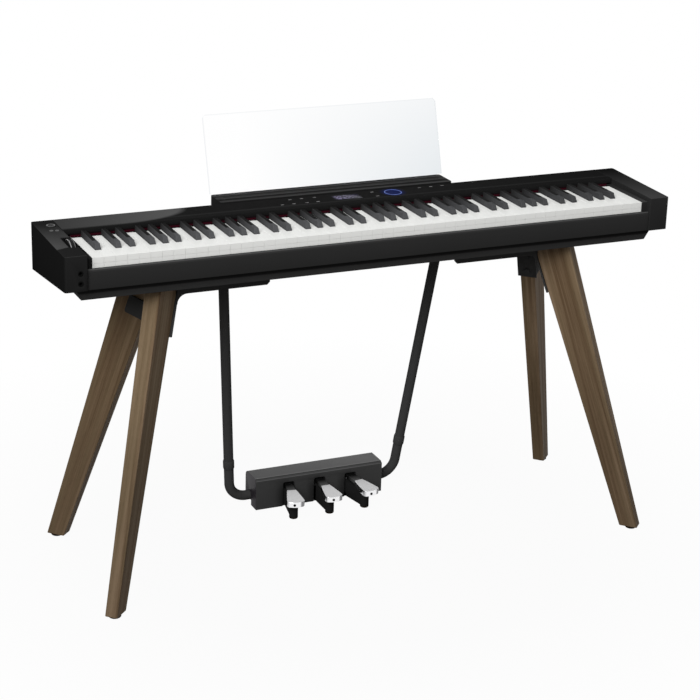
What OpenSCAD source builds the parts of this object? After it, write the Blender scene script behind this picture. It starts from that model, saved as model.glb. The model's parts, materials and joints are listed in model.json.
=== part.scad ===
// Slim digital piano with 88 keys, standing on four splayed wooden legs,
// with a lift-out clear music panel and a hung unit of three pedals.
// Millimetres. X runs along the keyboard (bass at -X), Y to the rear, Z up.
// The origin is on the floor at the centre of the stand.

/* [Keyboard body] */
// Width over the two end blocks
body_w = 1340; // [1336:1:1350]
// Depth from the front of the end blocks to the rear panel
body_d = 236; // [236:1:244]
// Height of the top's rear edge above the floor
top_z = 744.8; // [743:0.2:748]
// How much lower the top's front edge is
top_drop = 5.4; // [4:0.2:6]
// Height of an end block at the front
front_h = 70.9; // [69:0.1:72]
// Height of an end block at the rear
rear_h = 97.8; // [96:0.1:99]
// Width of an end block
block_w = 45; // [44:0.5:48]
// How far the front of the body stands before the stand's centre
body_front = 144.5; // [142:0.5:147]
// Depth of the bottom tray below the end blocks' front
tray_drop = 26.5; // [24:0.5:28]
// Wall thickness of the plastic casings
wall = 3; // [2.5:0.5:4]

/* [Keys] */
// Distance from one white key to the next
key_pitch = 23.5; // [23.3:0.1:23.5]
// Gap between two white keys
key_gap = 0.8; // [0.8:0.1:1.2]
// Length of a white key in front of the top panel
white_len = 135; // [132:1:136]
// Height of the white keys' tops
white_z = 729.7; // [729:0.1:731]
// Height of a white key's front face
lip_h = 21.5; // [20:0.5:22]
// Length of a black key's cap
black_len = 99.5; // [96:0.5:102]
// Rise of a black key above the white ones
black_rise = 11.3; // [10:0.1:11.5]
// Width of a black key at its foot
black_w = 11.8; // [11:0.1:12]
// Width of a black key at its top
black_top_w = 9.4; // [9:0.1:10]

/* [Music rest] */
// Width of the shelf behind the body
shelf_w = 534; // [520:2:560]
// Depth of that shelf
shelf_d = 64; // [62:1:70]
// Width of the clear panel
panel_w = 540; // [530:2:560]
// Height of the clear panel along its slope
panel_h = 180; // [170:1:184]
// Thickness of the clear panel
panel_t = 4; // [3:0.5:4]
// How far the clear panel leans back
panel_lean = 17; // [12:1:18]

/* [Stand] */
// Sideways distance from the centre to the middle of a foot
foot_x = 600; // [590:1:604]
// Front to back distance from the centre to the middle of a foot
foot_y = 206; // [204:1:210]
// Distance along the diagonal from a leg's foot to its top
splay = 222; // [218:1:224]
// Width of a leg at its top
leg_w_top = 81; // [78:0.2:83]
// Width of a leg at its foot
leg_w_foot = 39.6; // [36:0.2:42]
// Thickness of a leg at its top
leg_t_top = 34.5; // [32:0.5:34.5]
// Thickness of a leg at its foot
leg_t_foot = 27; // [26:0.5:29]
// Thickness of the bracket's steel
steel = 3.5; // [3:0.5:3.5]

/* [Pedals] */
// Width of the pedal housing
housing_w = 309; // [300:1:320]
// Depth of the pedal housing
housing_d = 66; // [64:0.5:68]
// Height of the pedal housing
housing_h = 73.7; // [72:0.1:75]
// Distance from the stand's centre back to the housing's front
housing_y = 159; // [156:1:162]
// Angle by which the outer pedals fan out
fan = 10.9; // [10:0.1:12.5]
// Sideways distance between two pedals' pivots
pedal_pitch = 69.4; // [68:0.1:71]
// Width of a pedal at its tip
pedal_w = 39.4; // [38:0.2:42]
// Diameter of the tubes that hold the pedal unit
tube_dia = 22; // [20:0.5:22]

/* [Hidden] */

gap = 0.3;                        // clearance between separate pieces
$fn = 48;

// Body: the front and rear planes, and the slope of the top
front_y = -body_front;
rear_y = front_y + body_d;
top_slope = atan(top_drop / body_d);
function top_at(y) = top_z - top_drop * (rear_y - y) / body_d;
block_x = body_w / 2 - block_w;               // inner face of an end block
under_front_z = top_z - top_drop - front_h;
under_rear_z = top_z - rear_h;
function under_at(y) = under_front_z + (under_rear_z - under_front_z) * (y - front_y) / body_d;
tray_z = under_front_z - tray_drop;
tray_front_y = front_y + 26;
tray_bevel = 12;                              // slope of the tray's ends
tray_top_half = block_x + 18;
edge_r = 5;                                   // upright corners of the end blocks
panel_front_y = front_y + 13.9 + white_len + 15;
panel_thick = 4;
panel_lip_z = white_z + 3.3;
rail_y = front_y + 4;                         // face of the front rail
rail_top_z = white_z - lip_h + 1;
rail_chamfer = 4.5;

// Keys: 52 white ones, of which the first is an A
white_count = 52;
first_letter = 5;                             // C is 0, so A is 5
middle_first = 23;                            // index of the middle C
middle_last = 29;                             // index of the B above it
keys_left = -white_count * key_pitch / 2;
white_front_y = front_y + 13.9;
white_thick = 12;
white_rear_y = white_front_y + white_len;
stem_top_z = white_z - 3.7;
pivot_y = 55;
pivot_z = 712;
pivot_r = 2;
tail_y = pivot_y + 7;
black_cut = black_w + 1.9;                    // width that a black key takes out of the white ones
black_rear_y = panel_front_y - 4;
black_front_y = black_rear_y - black_len;
black_slope = 5.5;                            // run of a black key's front face
LETTER_HAS_RIGHT = [1, 1, 0, 1, 1, 1, 0];     // a black key on the right of C, D, F, G and A
BLACK_SHIFT = [-2.4, 2.4, 0, -3.2, 0, 3.2, 0];
function letter(i) = (i + first_letter) % 7;
function key_x(i) = keys_left + i * key_pitch;
function has_right(i) = i < white_count - 1 && LETTER_HAS_RIGHT[letter(i)] == 1;
function has_left(i) = i > 0 && has_right(i - 1);
function black_x(i) = key_x(i + 1) + BLACK_SHIFT[letter(i)];

// Music rest
shelf_z = top_z + 3;
shelf_h = 21;
shelf_end_r = 6;
slot_y = rear_y + shelf_d - 5.5;              // middle of the panel where it enters the slot
slot_deep = 12;
slot_half_w = shelf_w / 2 - 8;

// Controls on the left end block
control_x = -body_w / 2 + 30;
knob_y = 52;
knob_r = 9.5;
button_r = 4.2;
power_xy = [control_x - 7, 22];
function_xy = [control_x + 4, 20];
wheel_x = -633.5;
wheel_y = -61;
wheel_r = 32;
wheel_w = 10;
wheel_rise = 7;
wheel_slot = 29;                              // half length of the wheel's slot
jack_x = -638.5;
jack_zs = [704.5, 684];
jack_r = 5.5;
jack_hole_r = 3.25;

// Touch panel: the display, the dial and the small lit marks
display_xy = [4, 62];
display_size = [60, 30];
dial_xy = [113, 65.5];
dial_r = 19;
mark_rear_y = 79;
mark_front_y = 49.5;
MARKS = concat(
    [for (x = [-118, -92, -63, 70, 182, 209, 236]) [x, mark_rear_y]],
    [for (x = [-147, -121, -92, -67, 70]) [x, mark_front_y]]
);
mark_size = [7, 2.4];
inlay = 0.8;

// Stand: every leg runs outwards from an apex on the stand's middle line
foot_reach = foot_y * sqrt(2);
apex_x = foot_x - foot_y;
leg_top_reach = foot_reach - splay;
plate_z = tray_z - 5;                         // under side of the bracket's top plate
leg_top_z = tray_z - 0.5;
glide_h = 5;
glide_r = 13;
flange_y = 46;
flange_z = tray_z - 35;
bracket_in_x = 211;
flange_r = 21;
tab_top = 65;                                 // side tab, measured down the leg from its top
tab_h = 40;
tab_out = 8;
leg_tilt = atan(splay / tray_z);
strap_end_z = tray_z - 117;
clamp_half = leg_t_top / 2 + gap + steel;
bolt_r = 4;
BOLT_RISE = [16, 54];                         // bolts, measured up from the strap's end
screw_r = 3;
function leg_mid(z) = foot_reach - splay * z / tray_z;
function leg_w(z) = leg_w_foot + (leg_w_top - leg_w_foot) * z / tray_z;
function leg_t(z) = leg_t_foot + (leg_t_top - leg_t_foot) * z / tray_z;
function leg_in(z) = leg_mid(z) - leg_w(z) / 2;
function leg_out(z) = leg_mid(z) + leg_w(z) / 2;
LEG_TURN = [45, 135, 225, 315];               // rear right, rear left, front left, front right

// Tubes: each one lies in a plane that leans forward
tube_lean = 8.39;
tube_splay = 5;
tube_base_y = housing_y + 42.7;
tube_base_z = 26;
bend_r = 42;
bend_x = housing_w / 2 + 8.5;
tube_r = tube_dia / 2;
bore_r = tube_r - 1.5;
tube_top_s = 612;                             // length of the sloping run, up to the clamp
collar_s = 78;
collar_len = 22;
clamp_len = 34;
clamp_y = 48;

// Pedals: a lever is built about its own pivot, pointing forwards along -Y
housing_z = 4.8;
housing_top = housing_z + housing_h;
heel_y = housing_y + 31;                      // the rear of the unit stops higher, behind this plane
heel_z = 17;
bevel_h = 4.2;                                // sloping upper front edge of the housing
bevel_d = 7;
rear_round = 13;                              // radius of its upper rear edge
pedal_pivot_y = housing_y + 33;
pedal_pivot_z = 57;
pedal_tilt = 4.3;
pedal_len = 124.5;
pedal_head = 60;
head_w = 21;
head_corner = 6.5;                              // how far the sides stop before the tip
head_h = 13;
neck_w = 18.6;
neck_h = 8;
neck_top = 4;                                 // top of the lever above its pivot
skin = 2.5;
pin_r = 3;
notch_w = 28;
notch_z = 62.5;
guide_w = 36;                                 // plate behind a notch, and the slot in it
guide_slot = 22.6;
arm_w = 16;
arm_foot = 91;
arm_foot_r = 9.9;
arm_top_z = 36.5;
spring_at = 16;
spring_r = 4.7;
spring_wire = 1.4;
spring_turns = 8;

// ---------------------------------------------------------------- helpers

// Shape drawn in Y and Z, running along X from x0 to x1
module along_x(x0, x1) {
    translate([x0, 0, 0]) rotate([90, 0, 90]) linear_extrude(x1 - x0) children();
}

// Shape drawn in X and Z, running along Y from y0 to y1
module along_y(y0, y1) {
    translate([0, y1, 0]) rotate([90, 0, 0]) linear_extrude(y1 - y0) children();
}

// Box between two corners
module box(low, high) {
    translate(low) cube(high - low);
}

// Places children on the sloping top, with +Z along its normal
module on_top(x, y) {
    translate([x, y, top_at(y)]) rotate([top_slope, 0, 0]) children();
}

module cyl(r, h) {
    cylinder(r = r, h = h);
}

// Rectangle with rounded corners, centred
module round_rect(w, d, r) {
    hull()
        for (sx = [-1, 1], sy = [-1, 1])
            translate([sx * (w / 2 - r), sy * (d / 2 - r)]) circle(r = r, $fn = 24);
}

// Mirrored copy as well as the shape itself
module both_sides() {
    children();
    mirror([1, 0, 0]) children();
}

// ---------------------------------------------------------------- casing

// Outline of an end block, in Y and Z, kept inside by the given margin
module block_profile(m = 0) {
    polygon([
        [front_y + m, under_front_z + m], [front_y + m, top_at(front_y) - m],
        [rear_y - m, top_at(rear_y) - m], [rear_y - m, under_rear_z + m]
    ]);
}

// End block on the right: a hollow cap with a key cheek on its inner side
module end_block_shell() {
    difference() {
        union() {
            intersection() {
                along_x(block_x, body_w / 2) block_profile();
                translate([block_x, front_y, 0]) linear_extrude(top_z + 10) hull() {
                    square([1, body_d]);
                    for (y = [edge_r, body_d - edge_r])
                        translate([block_w - edge_r, y]) circle(r = edge_r, $fn = 32);
                }
            }
            // cheek beside the last key, level with its top
            along_x(-keys_left + 0.8, block_x + 1) polygon([
                [white_front_y - 0.6, rail_top_z - 12], [white_front_y - 0.6, white_z - 1],
                [white_front_y + 0.4, white_z], [panel_front_y + wall, white_z],
                [panel_front_y + wall, rail_top_z - 12]
            ]);
        }
        along_x(block_x + wall, body_w / 2 - wall) block_profile(wall);
        box([block_x - 20, -60, rail_top_z - 40], [block_x + wall + 1, 60, rail_top_z - 14]);
    }
}

module right_end_block() {
    color([0.13, 0.13, 0.13]) end_block_shell();
}

module left_end_block() {
    color([0.13, 0.13, 0.13]) {
        difference() {
            mirror([1, 0, 0]) end_block_shell();
            on_top(control_x, knob_y) translate([0, 0, -12]) cyl(knob_r + gap, 14);
            on_top(power_xy[0], power_xy[1]) translate([0, 0, -12]) cyl(button_r + gap, 14);
            on_top(function_xy[0], function_xy[1]) translate([0, 0, -12]) cyl(button_r + gap, 14);
            box([wheel_x - wheel_w / 2 - 1, wheel_y - wheel_slot, top_z - 20],
                [wheel_x + wheel_w / 2 + 1, wheel_y + wheel_slot, top_z + 5]);
            for (z = jack_zs)
                translate([jack_x, front_y + wall + 2, z]) rotate([90, 0, 0]) cyl(jack_r, wall + 4);
        }
        // stub axle that carries the bend wheel
        translate([-body_w / 2 + wall - 1, wheel_y, wheel_axis_z()]) rotate([0, 90, 0])
            cyl(3, body_w / 2 + wheel_x - wall + 1 + wheel_w / 2 + 1);
    }
}

function wheel_axis_z() = top_at(wheel_y) + wheel_rise - wheel_r;

// Outer form of the tray under the keys, with bevelled ends, cut away below the end blocks
module tray_block() {
    difference() {
        intersection() {
            along_y(tray_front_y - 8, rear_y)
                polygon([
                    [-tray_top_half, under_front_z - gap], [tray_top_half, under_front_z - gap],
                    [tray_top_half - tray_bevel, tray_z], [-tray_top_half + tray_bevel, tray_z]
                ]);
            along_x(-tray_top_half, tray_top_half)
                polygon([
                    [tray_front_y - 6, under_front_z - gap], [rear_y - 3.2, under_front_z - gap],
                    [rear_y - 3.2, tray_z], [tray_front_y, tray_z]
                ]);
        }
        both_sides() along_x(block_x - gap, body_w / 2 + 1)
            polygon([
                [front_y - 10, under_at(front_y - 10) - gap],
                [rear_y + 10, under_at(rear_y + 10) - gap],
                [rear_y + 10, top_z], [front_y - 10, top_z]
            ]);
    }
}

// Skirt of the tray, open at the rear, and the floor plate that lies inside it
module bottom_tray() {
    inner_x = block_x - 4;
    color([0.12, 0.12, 0.12]) {
        difference() {
            tray_block();
            box([-inner_x, tray_front_y + wall, tray_z - 1], [inner_x, rear_y, under_front_z + 1]);
        }
        difference() {
            box([-inner_x + 0.05, tray_front_y + wall + 0.05, tray_z],
                [inner_x - 0.05, rear_y - 3.2, tray_z + wall]);
            screw_places() translate([0, 0, tray_z - 1]) cyl(screw_r + 0.1, wall + 2);
        }
    }
}

// Long front rail below the keys: face, chamfered shoulder and inner ledge
module front_rail() {
    z0 = under_front_z;
    color([0.16, 0.16, 0.16]) along_x(-block_x + gap, block_x - gap)
        polygon([
            [rail_y, z0], [rail_y, rail_top_z - rail_chamfer],
            [rail_y + rail_chamfer, rail_top_z], [white_front_y - 1, rail_top_z],
            [white_front_y - 1, rail_top_z - wall], [rail_y + rail_chamfer + 1, rail_top_z - wall],
            [rail_y + wall, rail_top_z - rail_chamfer - 1.5], [rail_y + wall, z0 + wall],
            [tray_front_y + 6, z0 + wall], [tray_front_y + 6, z0]
        ]);
}

// Gloss cover behind the keys, with a lip down to the keys
module top_panel() {
    color([0.05, 0.05, 0.055]) difference() {
        along_x(-block_x + gap, block_x - gap)
            polygon([
                [panel_front_y, panel_lip_z], [panel_front_y, top_at(panel_front_y)],
                [rear_y, top_at(rear_y)], [rear_y, top_at(rear_y) - panel_thick],
                [panel_front_y + wall, top_at(panel_front_y) - panel_thick],
                [panel_front_y + wall, panel_lip_z]
            ]);
        on_top(display_xy[0], display_xy[1]) translate([0, 0, -inlay])
            linear_extrude(2) square(display_size + [0.2, 0.2], center = true);
        on_top(dial_xy[0], dial_xy[1]) translate([0, 0, -inlay]) difference() {
            cyl(dial_r + 0.1, 2);
            translate([0, 0, -1]) cyl(dial_r - 2.1, 4);
        }
        for (m = MARKS)
            on_top(m[0], m[1]) translate([0, 0, -inlay])
                linear_extrude(2) square(mark_size + [0.1, 0.1], center = true);
    }
}

module display_glass() {
    color([0.3, 0.28, 0.42]) on_top(display_xy[0], display_xy[1]) translate([0, 0, -inlay])
        linear_extrude(inlay) square(display_size, center = true);
}

// Lit ring of the touch dial and the lit touch marks
module panel_lights() {
    color([0.55, 0.6, 0.85]) {
        on_top(dial_xy[0], dial_xy[1]) translate([0, 0, -inlay]) difference() {
            cyl(dial_r, inlay);
            translate([0, 0, -1]) cyl(dial_r - 2, 4);
        }
        for (m = MARKS)
            on_top(m[0], m[1]) translate([0, 0, -inlay])
                linear_extrude(inlay) square(mark_size, center = true);
    }
}

// Rear wall with sockets and the sound openings of the speakers
module rear_panel() {
    color([0.12, 0.12, 0.12]) difference() {
        box([-block_x + gap, rear_y - wall, tray_z + wall + 1],
            [block_x - gap, rear_y, top_at(rear_y) - panel_thick - 0.1]);
        for (side = [-1, 1], i = [-4:4])
            box([side * speaker_x + i * 7 - 1.5, rear_y - wall - 1, speaker_z - slot_half(i)],
                [side * speaker_x + i * 7 + 1.5, rear_y + 1, speaker_z + slot_half(i)]);
        for (s = SOCKETS)
            translate([s[0], rear_y + 1, socket_z]) rotate([90, 0, 0]) cyl(s[1], wall + 2);
        box([-330, rear_y - wall - 1, socket_z - 5.5], [-318, rear_y + 1, socket_z + 5.5]);
    }
}

speaker_x = 450;
speaker_z = 702;
speaker_r = 32;
function slot_half(i) = sqrt(pow(speaker_r - 2, 2) - pow(i * 7, 2)) - 3;
socket_z = 690;
SOCKETS = [[-590, 5.5], [-376, 5], [-352, 5]];   // power inlet and two line outputs: X and radius

module felt_strip() {
    color([0.32, 0.03, 0.09])
        box([keys_left, panel_front_y - 3, white_z - 1.5],
            [-keys_left, panel_front_y - 0.1, white_z + 5.3]);
}

// ---------------------------------------------------------------- inside the casing

// Folded steel frame: floor plate, front guide rail and the wall under the balance rod
module key_frame() {
    color([0.55, 0.56, 0.58]) along_x(keys_left, -keys_left)
        polygon([
            [-109, tray_z + wall], [70, tray_z + wall], [70, tray_z + wall + 2],
            [pivot_y + 1.5, tray_z + wall + 2], [pivot_y + 1.5, pivot_z - pivot_r],
            [pivot_y - 1.5, pivot_z - pivot_r], [pivot_y - 1.5, tray_z + wall + 2],
            [-98, tray_z + wall + 2], [-98, 700], [-84, 700], [-84, 702],
            [-100, 702], [-100, tray_z + wall + 2], [-109, tray_z + wall + 2]
        ]);
}

module balance_rod() {
    color([0.75, 0.75, 0.77]) translate([keys_left, pivot_y, pivot_z]) rotate([0, 90, 0])
        cyl(pivot_r, -2 * keys_left);
}

module key_sensor_board() {
    color([0.1, 0.35, 0.2]) {
        box([keys_left + 4, -45, 692], [-keys_left - 4, -5, 693.6]);
        for (i = [0:12])
            translate([keys_left + 11 + i * 100, -25, tray_z + wall + 2]) cyl(4, 691.95 - tray_z - wall - 2);
    }
}

module main_board() {
    color([0.08, 0.3, 0.16]) {
        box([-560, -15, tray_z + 15], [-360, 46, tray_z + 16.6]);
        for (x = [-552, -368], y = [-9, 40])
            translate([x, y, tray_z + wall + 2]) cyl(3, 15 - wall - 2);
        box([-540, 10, tray_z + 16.6], [-500, 35, tray_z + 24]);
        box([-450, -8, tray_z + 16.6], [-425, 17, tray_z + 20]);
    }
}

// Shallow speaker that plays out of the rear wall
module speaker() {
    translate([0, rear_y - wall - 0.2, speaker_z]) rotate([90, 0, 0]) rotate_extrude()
        polygon([
            [0, 4], [10, 4], [speaker_r - 6, 1.5], [speaker_r - 3, 0], [speaker_r, 0],
            [speaker_r, 2.5], [20, 13], [17, 14], [17, 22], [0, 22]
        ]);
}

module speakers() {
    color([0.2, 0.2, 0.21]) for (side = [-1, 1]) translate([side * speaker_x, 0, 0]) speaker();
}

// ---------------------------------------------------------------- controls

module volume_knob() {
    color([0.3, 0.3, 0.31]) on_top(control_x, knob_y) translate([0, 0, -8]) difference() {
        rotate_extrude() polygon([
            [0, 0], [knob_r, 0], [knob_r, 9.4], [knob_r - 0.8, 10.2], [knob_r - 3, 10.2],
            [knob_r - 3.4, 9], [0, 9]
        ]);
        translate([-0.5, knob_r - 3.2, 9.6]) cube([1, 4, 2]);
    }
}

module round_button() {
    translate([0, 0, -8]) rotate_extrude() polygon([
        [0, 0], [button_r, 0], [button_r, 8.6], [button_r - 0.6, 9.2], [0, 9.4]
    ]);
}

module power_button() {
    color([0.33, 0.33, 0.34]) on_top(power_xy[0], power_xy[1]) round_button();
}

module function_button() {
    color([0.33, 0.33, 0.34]) on_top(function_xy[0], function_xy[1]) round_button();
}

// Wheel with a finger notch across its rim
module bend_wheel() {
    color([0.17, 0.17, 0.18]) translate([wheel_x - wheel_w / 2, wheel_y, wheel_axis_z()])
        rotate([0, 90, 0]) difference() {
            rotate_extrude($fn = 72) polygon([
                [3.05, 0], [wheel_r - 1.2, 0], [wheel_r, 1.2], [wheel_r, wheel_w - 1.2],
                [wheel_r - 1.2, wheel_w], [3.05, wheel_w]
            ]);
            translate([-wheel_r - 2.2, 0, -1]) cyl(4, wheel_w + 2);
        }
}

module phone_jacks() {
    color([0.3, 0.3, 0.3]) for (z = jack_zs)
        translate([jack_x, front_y + 18, z]) rotate([90, 0, 0]) difference() {
            union() {
                cyl(jack_r - 0.1, 18.4);
                translate([-6, -8, 0]) cube([12, 16, 13]);
            }
            translate([0, 0, 2]) cyl(jack_hole_r, 20);
        }
}

// ---------------------------------------------------------------- music rest

// Places children in the clear panel's own plane, standing in its slot
module at_panel() {
    translate([0, slot_y, shelf_z]) rotate([-panel_lean, 0, 0]) children();
}

module rest_shelf() {
    color([0.09, 0.09, 0.095]) difference() {
        translate([0, rear_y + shelf_d / 2, shelf_z - shelf_h]) linear_extrude(shelf_h)
            round_rect(shelf_w, shelf_d, shelf_end_r);
        translate([0, rear_y + 20, shelf_z]) rotate([45, 0, 0])
            cube([shelf_w - 34, 3, 3], center = true);
        translate([0, rear_y + 36, shelf_z]) rotate([45, 0, 0])
            cube([shelf_w - 34, 3, 3], center = true);
        at_panel() translate([-slot_half_w, -panel_t / 2 - gap, -slot_deep])
            cube([2 * slot_half_w, panel_t + 2 * gap, slot_deep + 6]);
    }
}

// Clear panel: the part in the slot is as wide as the slot, and the rest is a little wider
module music_panel() {
    color([0.85, 0.9, 0.92, 0.4]) at_panel() rotate([90, 0, 0]) linear_extrude(panel_t, center = true)
        polygon([
            [-slot_half_w + gap, -slot_deep + gap], [slot_half_w - gap, -slot_deep + gap],
            [slot_half_w - gap, 2.5], [panel_w / 2, 2.5], [panel_w / 2, panel_h - slot_deep - 6],
            [panel_w / 2 - 6, panel_h - slot_deep], [-panel_w / 2 + 6, panel_h - slot_deep],
            [-panel_w / 2, panel_h - slot_deep - 6], [-panel_w / 2, 2.5], [-slot_half_w + gap, 2.5]
        ]);
}

// ---------------------------------------------------------------- keys

// White key i, with the room for its black neighbours taken out of it
module white_key(i) {
    x0 = key_x(i) + key_gap / 2;
    x1 = key_x(i + 1) - key_gap / 2;
    left = has_left(i) ? black_x(i - 1) + black_cut / 2 : x0;
    right = has_right(i) ? black_x(i) - black_cut / 2 : x1;
    difference() {
        union() {
            // top of the key
            translate([0, 0, white_z - white_thick]) linear_extrude(white_thick) polygon([
                [x0, white_front_y], [x1, white_front_y], [x1, black_front_y - 2],
                [right, black_front_y - 2], [right, white_rear_y + 1], [left, white_rear_y + 1],
                [left, black_front_y - 2], [x0, black_front_y - 2]
            ]);
            box([x0, white_front_y, white_z - lip_h], [x1, white_front_y + 3, white_z - 1]);
            // lever that runs back over the balance rod
            box([left, white_front_y + 45, pivot_z], [right, tail_y, stem_top_z]);
        }
        translate([left - 1, pivot_y, pivot_z]) rotate([0, 90, 0]) cyl(pivot_r + gap, right - left + 2);
    }
}

// Black key on the right of white key i
module black_key(i) {
    x = black_x(i);
    half = black_w / 2;
    top_half = black_top_w / 2;
    cap_z = white_z + black_rise;
    difference() {
        union() {
            intersection() {
                along_x(x - half, x + half) polygon([
                    [black_front_y, white_z - 9], [black_front_y, white_z + 0.6],
                    [black_front_y + black_slope, cap_z - 0.8], [black_front_y + black_slope + 1.5, cap_z],
                    [black_rear_y, cap_z], [black_rear_y, white_z - 9]
                ]);
                along_y(black_front_y - 1, black_rear_y + 1) polygon([
                    [x - half, white_z - 10], [x - half, white_z], [x - top_half - 0.4, cap_z - 1],
                    [x - top_half + 0.6, cap_z], [x + top_half - 0.6, cap_z],
                    [x + top_half + 0.4, cap_z - 1], [x + half, white_z], [x + half, white_z - 10]
                ]);
            }
            box([x - half, black_front_y + 4, pivot_z], [x + half, tail_y, stem_top_z - 3]);
        }
        translate([x - half - 1, pivot_y, pivot_z]) rotate([0, 90, 0]) cyl(pivot_r + gap, black_w + 2);
    }
}

WHITE = [0.93, 0.94, 0.92];
BLACK = [0.1, 0.1, 0.105];

module white_keys(first, last) {
    color(WHITE) for (i = [first:last]) white_key(i);
}

module black_keys(first, last) {
    color(BLACK) for (i = [first:last]) if (has_right(i)) black_key(i);
}

// ---------------------------------------------------------------- stand

// Places children in the upright plane of leg n, with +X outwards along the diagonal
module at_leg(n) {
    side = n == 0 || n == 3 ? 1 : -1;
    translate([side * apex_x, 0, 0]) rotate([0, 0, LEG_TURN[n]]) children();
}

// Places of the bolts in the leg's inner edge, with +Z into the wood
module at_bolts() {
    for (rise = BOLT_RISE)
        translate([leg_in(strap_end_z + rise), 0, strap_end_z + rise])
            rotate([0, 90 - edge_tilt(), 0]) children();
}
function edge_tilt() = atan((leg_in(0) - leg_in(tray_z)) / tray_z);

module leg(n) {
    color([0.42, 0.34, 0.26]) at_leg(n) difference() {
        intersection() {
            rotate([90, 0, 0]) linear_extrude(60, center = true) polygon([
                [leg_in(glide_h) + 3, glide_h], [leg_out(glide_h) - 2, glide_h],
                [leg_out(glide_h + 3), glide_h + 3], [leg_out(leg_top_z), leg_top_z],
                [leg_in(leg_top_z), leg_top_z], [leg_in(glide_h + 4), glide_h + 4]
            ]);
            rotate([90, 0, 90]) linear_extrude(foot_reach + 60) polygon([
                [-leg_t(0) / 2 + 2, glide_h], [leg_t(0) / 2 - 2, glide_h],
                [leg_t(0) / 2, glide_h + 3], [leg_t(leg_top_z) / 2, leg_top_z],
                [-leg_t(leg_top_z) / 2, leg_top_z], [-leg_t(0) / 2, glide_h + 3]
            ]);
        }
        at_bolts() translate([0, 0, -5]) cyl(bolt_r + 0.1, 47);
    }
}

module floor_glides() {
    color([0.06, 0.06, 0.06]) for (n = [0:3]) at_leg(n) translate([foot_reach, 0, 0])
        rotate_extrude() polygon([
            [0, 0], [glide_r - 2, 0], [glide_r, 2], [glide_r, glide_h], [0, glide_h]
        ]);
}

// Strap down a leg's inner edge, with a tab on the side that faces the other leg
module leg_clamp(side) {
    in_z = tray_z - 1;
    difference() {
        union() {
            rotate([90, 0, 0]) linear_extrude(2 * clamp_half, center = true) polygon([
                [leg_in(strap_end_z) - gap - steel, strap_end_z],
                [leg_in(strap_end_z) - gap, strap_end_z],
                [leg_in(in_z) - gap, in_z], [leg_in(in_z) - gap - steel, in_z]
            ]);
            translate([0, side * (clamp_half - steel / 2), 0]) rotate([90, 0, 0])
                linear_extrude(steel, center = true)
                    translate([leg_mid(tray_z), tray_z]) rotate(leg_tilt) polygon(tab_outline());
        }
        at_bolts() translate([0, 0, -20]) cyl(bolt_r + 0.1, 40);
    }
}

// Tab in the leg's own axes: across the leg, and along it below its top
function tab_outline() = let (b = tab_top + tab_h, r = 4,
        in_top = leg_w(tray_z - tab_top) / 2 * cos(leg_tilt) + 2.2,
        in_foot = leg_w(tray_z - b) / 2 * cos(leg_tilt) + 2.2) [
    [-in_top, -tab_top], [-in_foot, -b],
    [tab_out - r, -b], [tab_out - r * 0.3, -b + r * 0.3], [tab_out, -b + r], [tab_out, -tab_top]
];

// Corner of the top plate, where it meets a strap: v across the leg
function plate_corner(v) = let (u = leg_in(tray_z) - gap - 0.5)
    [apex_x + (u - v) / sqrt(2), (u + v) / sqrt(2)];

// Top plate, two side flanges and the clamps of the pair of legs on the right
module bracket() {
    near = plate_corner(clamp_half);
    far = plate_corner(-clamp_half);
    difference() {
        union() {
            translate([0, 0, plate_z]) linear_extrude(tray_z - plate_z) polygon([
                [bracket_in_x, -flange_y], [near[0], -flange_y], [near[0], -near[1]],
                [far[0], -far[1]], far, near, [near[0], flange_y], [bracket_in_x, flange_y]
            ]);
            for (side = [-1, 1])
                translate([0, side * (flange_y - steel / 2), 0]) rotate([90, 0, 0])
                    linear_extrude(steel, center = true) polygon(flange_outline());
            translate([apex_x, 0, 0]) rotate([0, 0, 45]) leg_clamp(-1);
            translate([apex_x, 0, 0]) rotate([0, 0, 315]) leg_clamp(1);
        }
        screw_places() translate([0, 0, plate_z - 1]) cyl(screw_r + 0.1, 8);
    }
}

// Side flange in X and Z, with a round fillet down to the clamp's strap
function flange_outline() = let (x1 = apex_x + 16.5, x0 = x1 - flange_r) concat(
    [[bracket_in_x, plate_z + 1], [bracket_in_x, flange_z + 6], [bracket_in_x + 6, flange_z]],
    [for (a = [0:15:90]) [x0 + flange_r * sin(a), flange_z - flange_r + flange_r * cos(a)]],
    [[x1 + 1, plate_z + 1]]
);

module bracket_left() {
    color([0.09, 0.09, 0.1]) mirror([1, 0, 0]) bracket();
}

module bracket_right() {
    color([0.09, 0.09, 0.1]) bracket();
}

// Two bolts per leg, through the strap into its inner edge
module leg_bolts() {
    color([0.18, 0.18, 0.19]) for (n = [0:3]) at_leg(n) at_bolts() {
        translate([0, 0, -gap - steel - 3]) cyl(bolt_r, 44);
        translate([0, 0, -gap - steel - 4.05]) cyl(7.5, 4);
    }
}

// Where the screws hold the brackets and the tube clamps under the tray
module screw_places() {
    for (x = [bracket_in_x + 24, bracket_in_x + 124], y = [-22, 22], side = [-1, 1])
        translate([side * x, y, 0]) children();
    for (y = [clamp_y + 11, clamp_y + 29], side = [-1, 1])
        translate([side * clamp_x(), y, 0]) children();
}

module body_screws() {
    color([0.2, 0.2, 0.21]) screw_places() {
        translate([0, 0, plate_z - 3.5]) cyl(6, 3.45);
        translate([0, 0, plate_z - 1]) cyl(screw_r, tray_z - plate_z + wall + 0.9);
    }
}

// ---------------------------------------------------------------- pedal unit

// Plane of the right tube: X across, and +Z up along the leaning plane
module tube_plane() {
    translate([0, tube_base_y, tube_base_z]) rotate([tube_lean, 0, 0]) children();
}

// Start of the straight run, in that plane
function run_x() = bend_x + bend_r * cos(tube_splay);
function run_s() = bend_r * (1 - sin(tube_splay));
function run_to(s) = run_x() + (s - run_s()) * tan(tube_splay);
function clamp_x() = run_to(tube_top_s);

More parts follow.
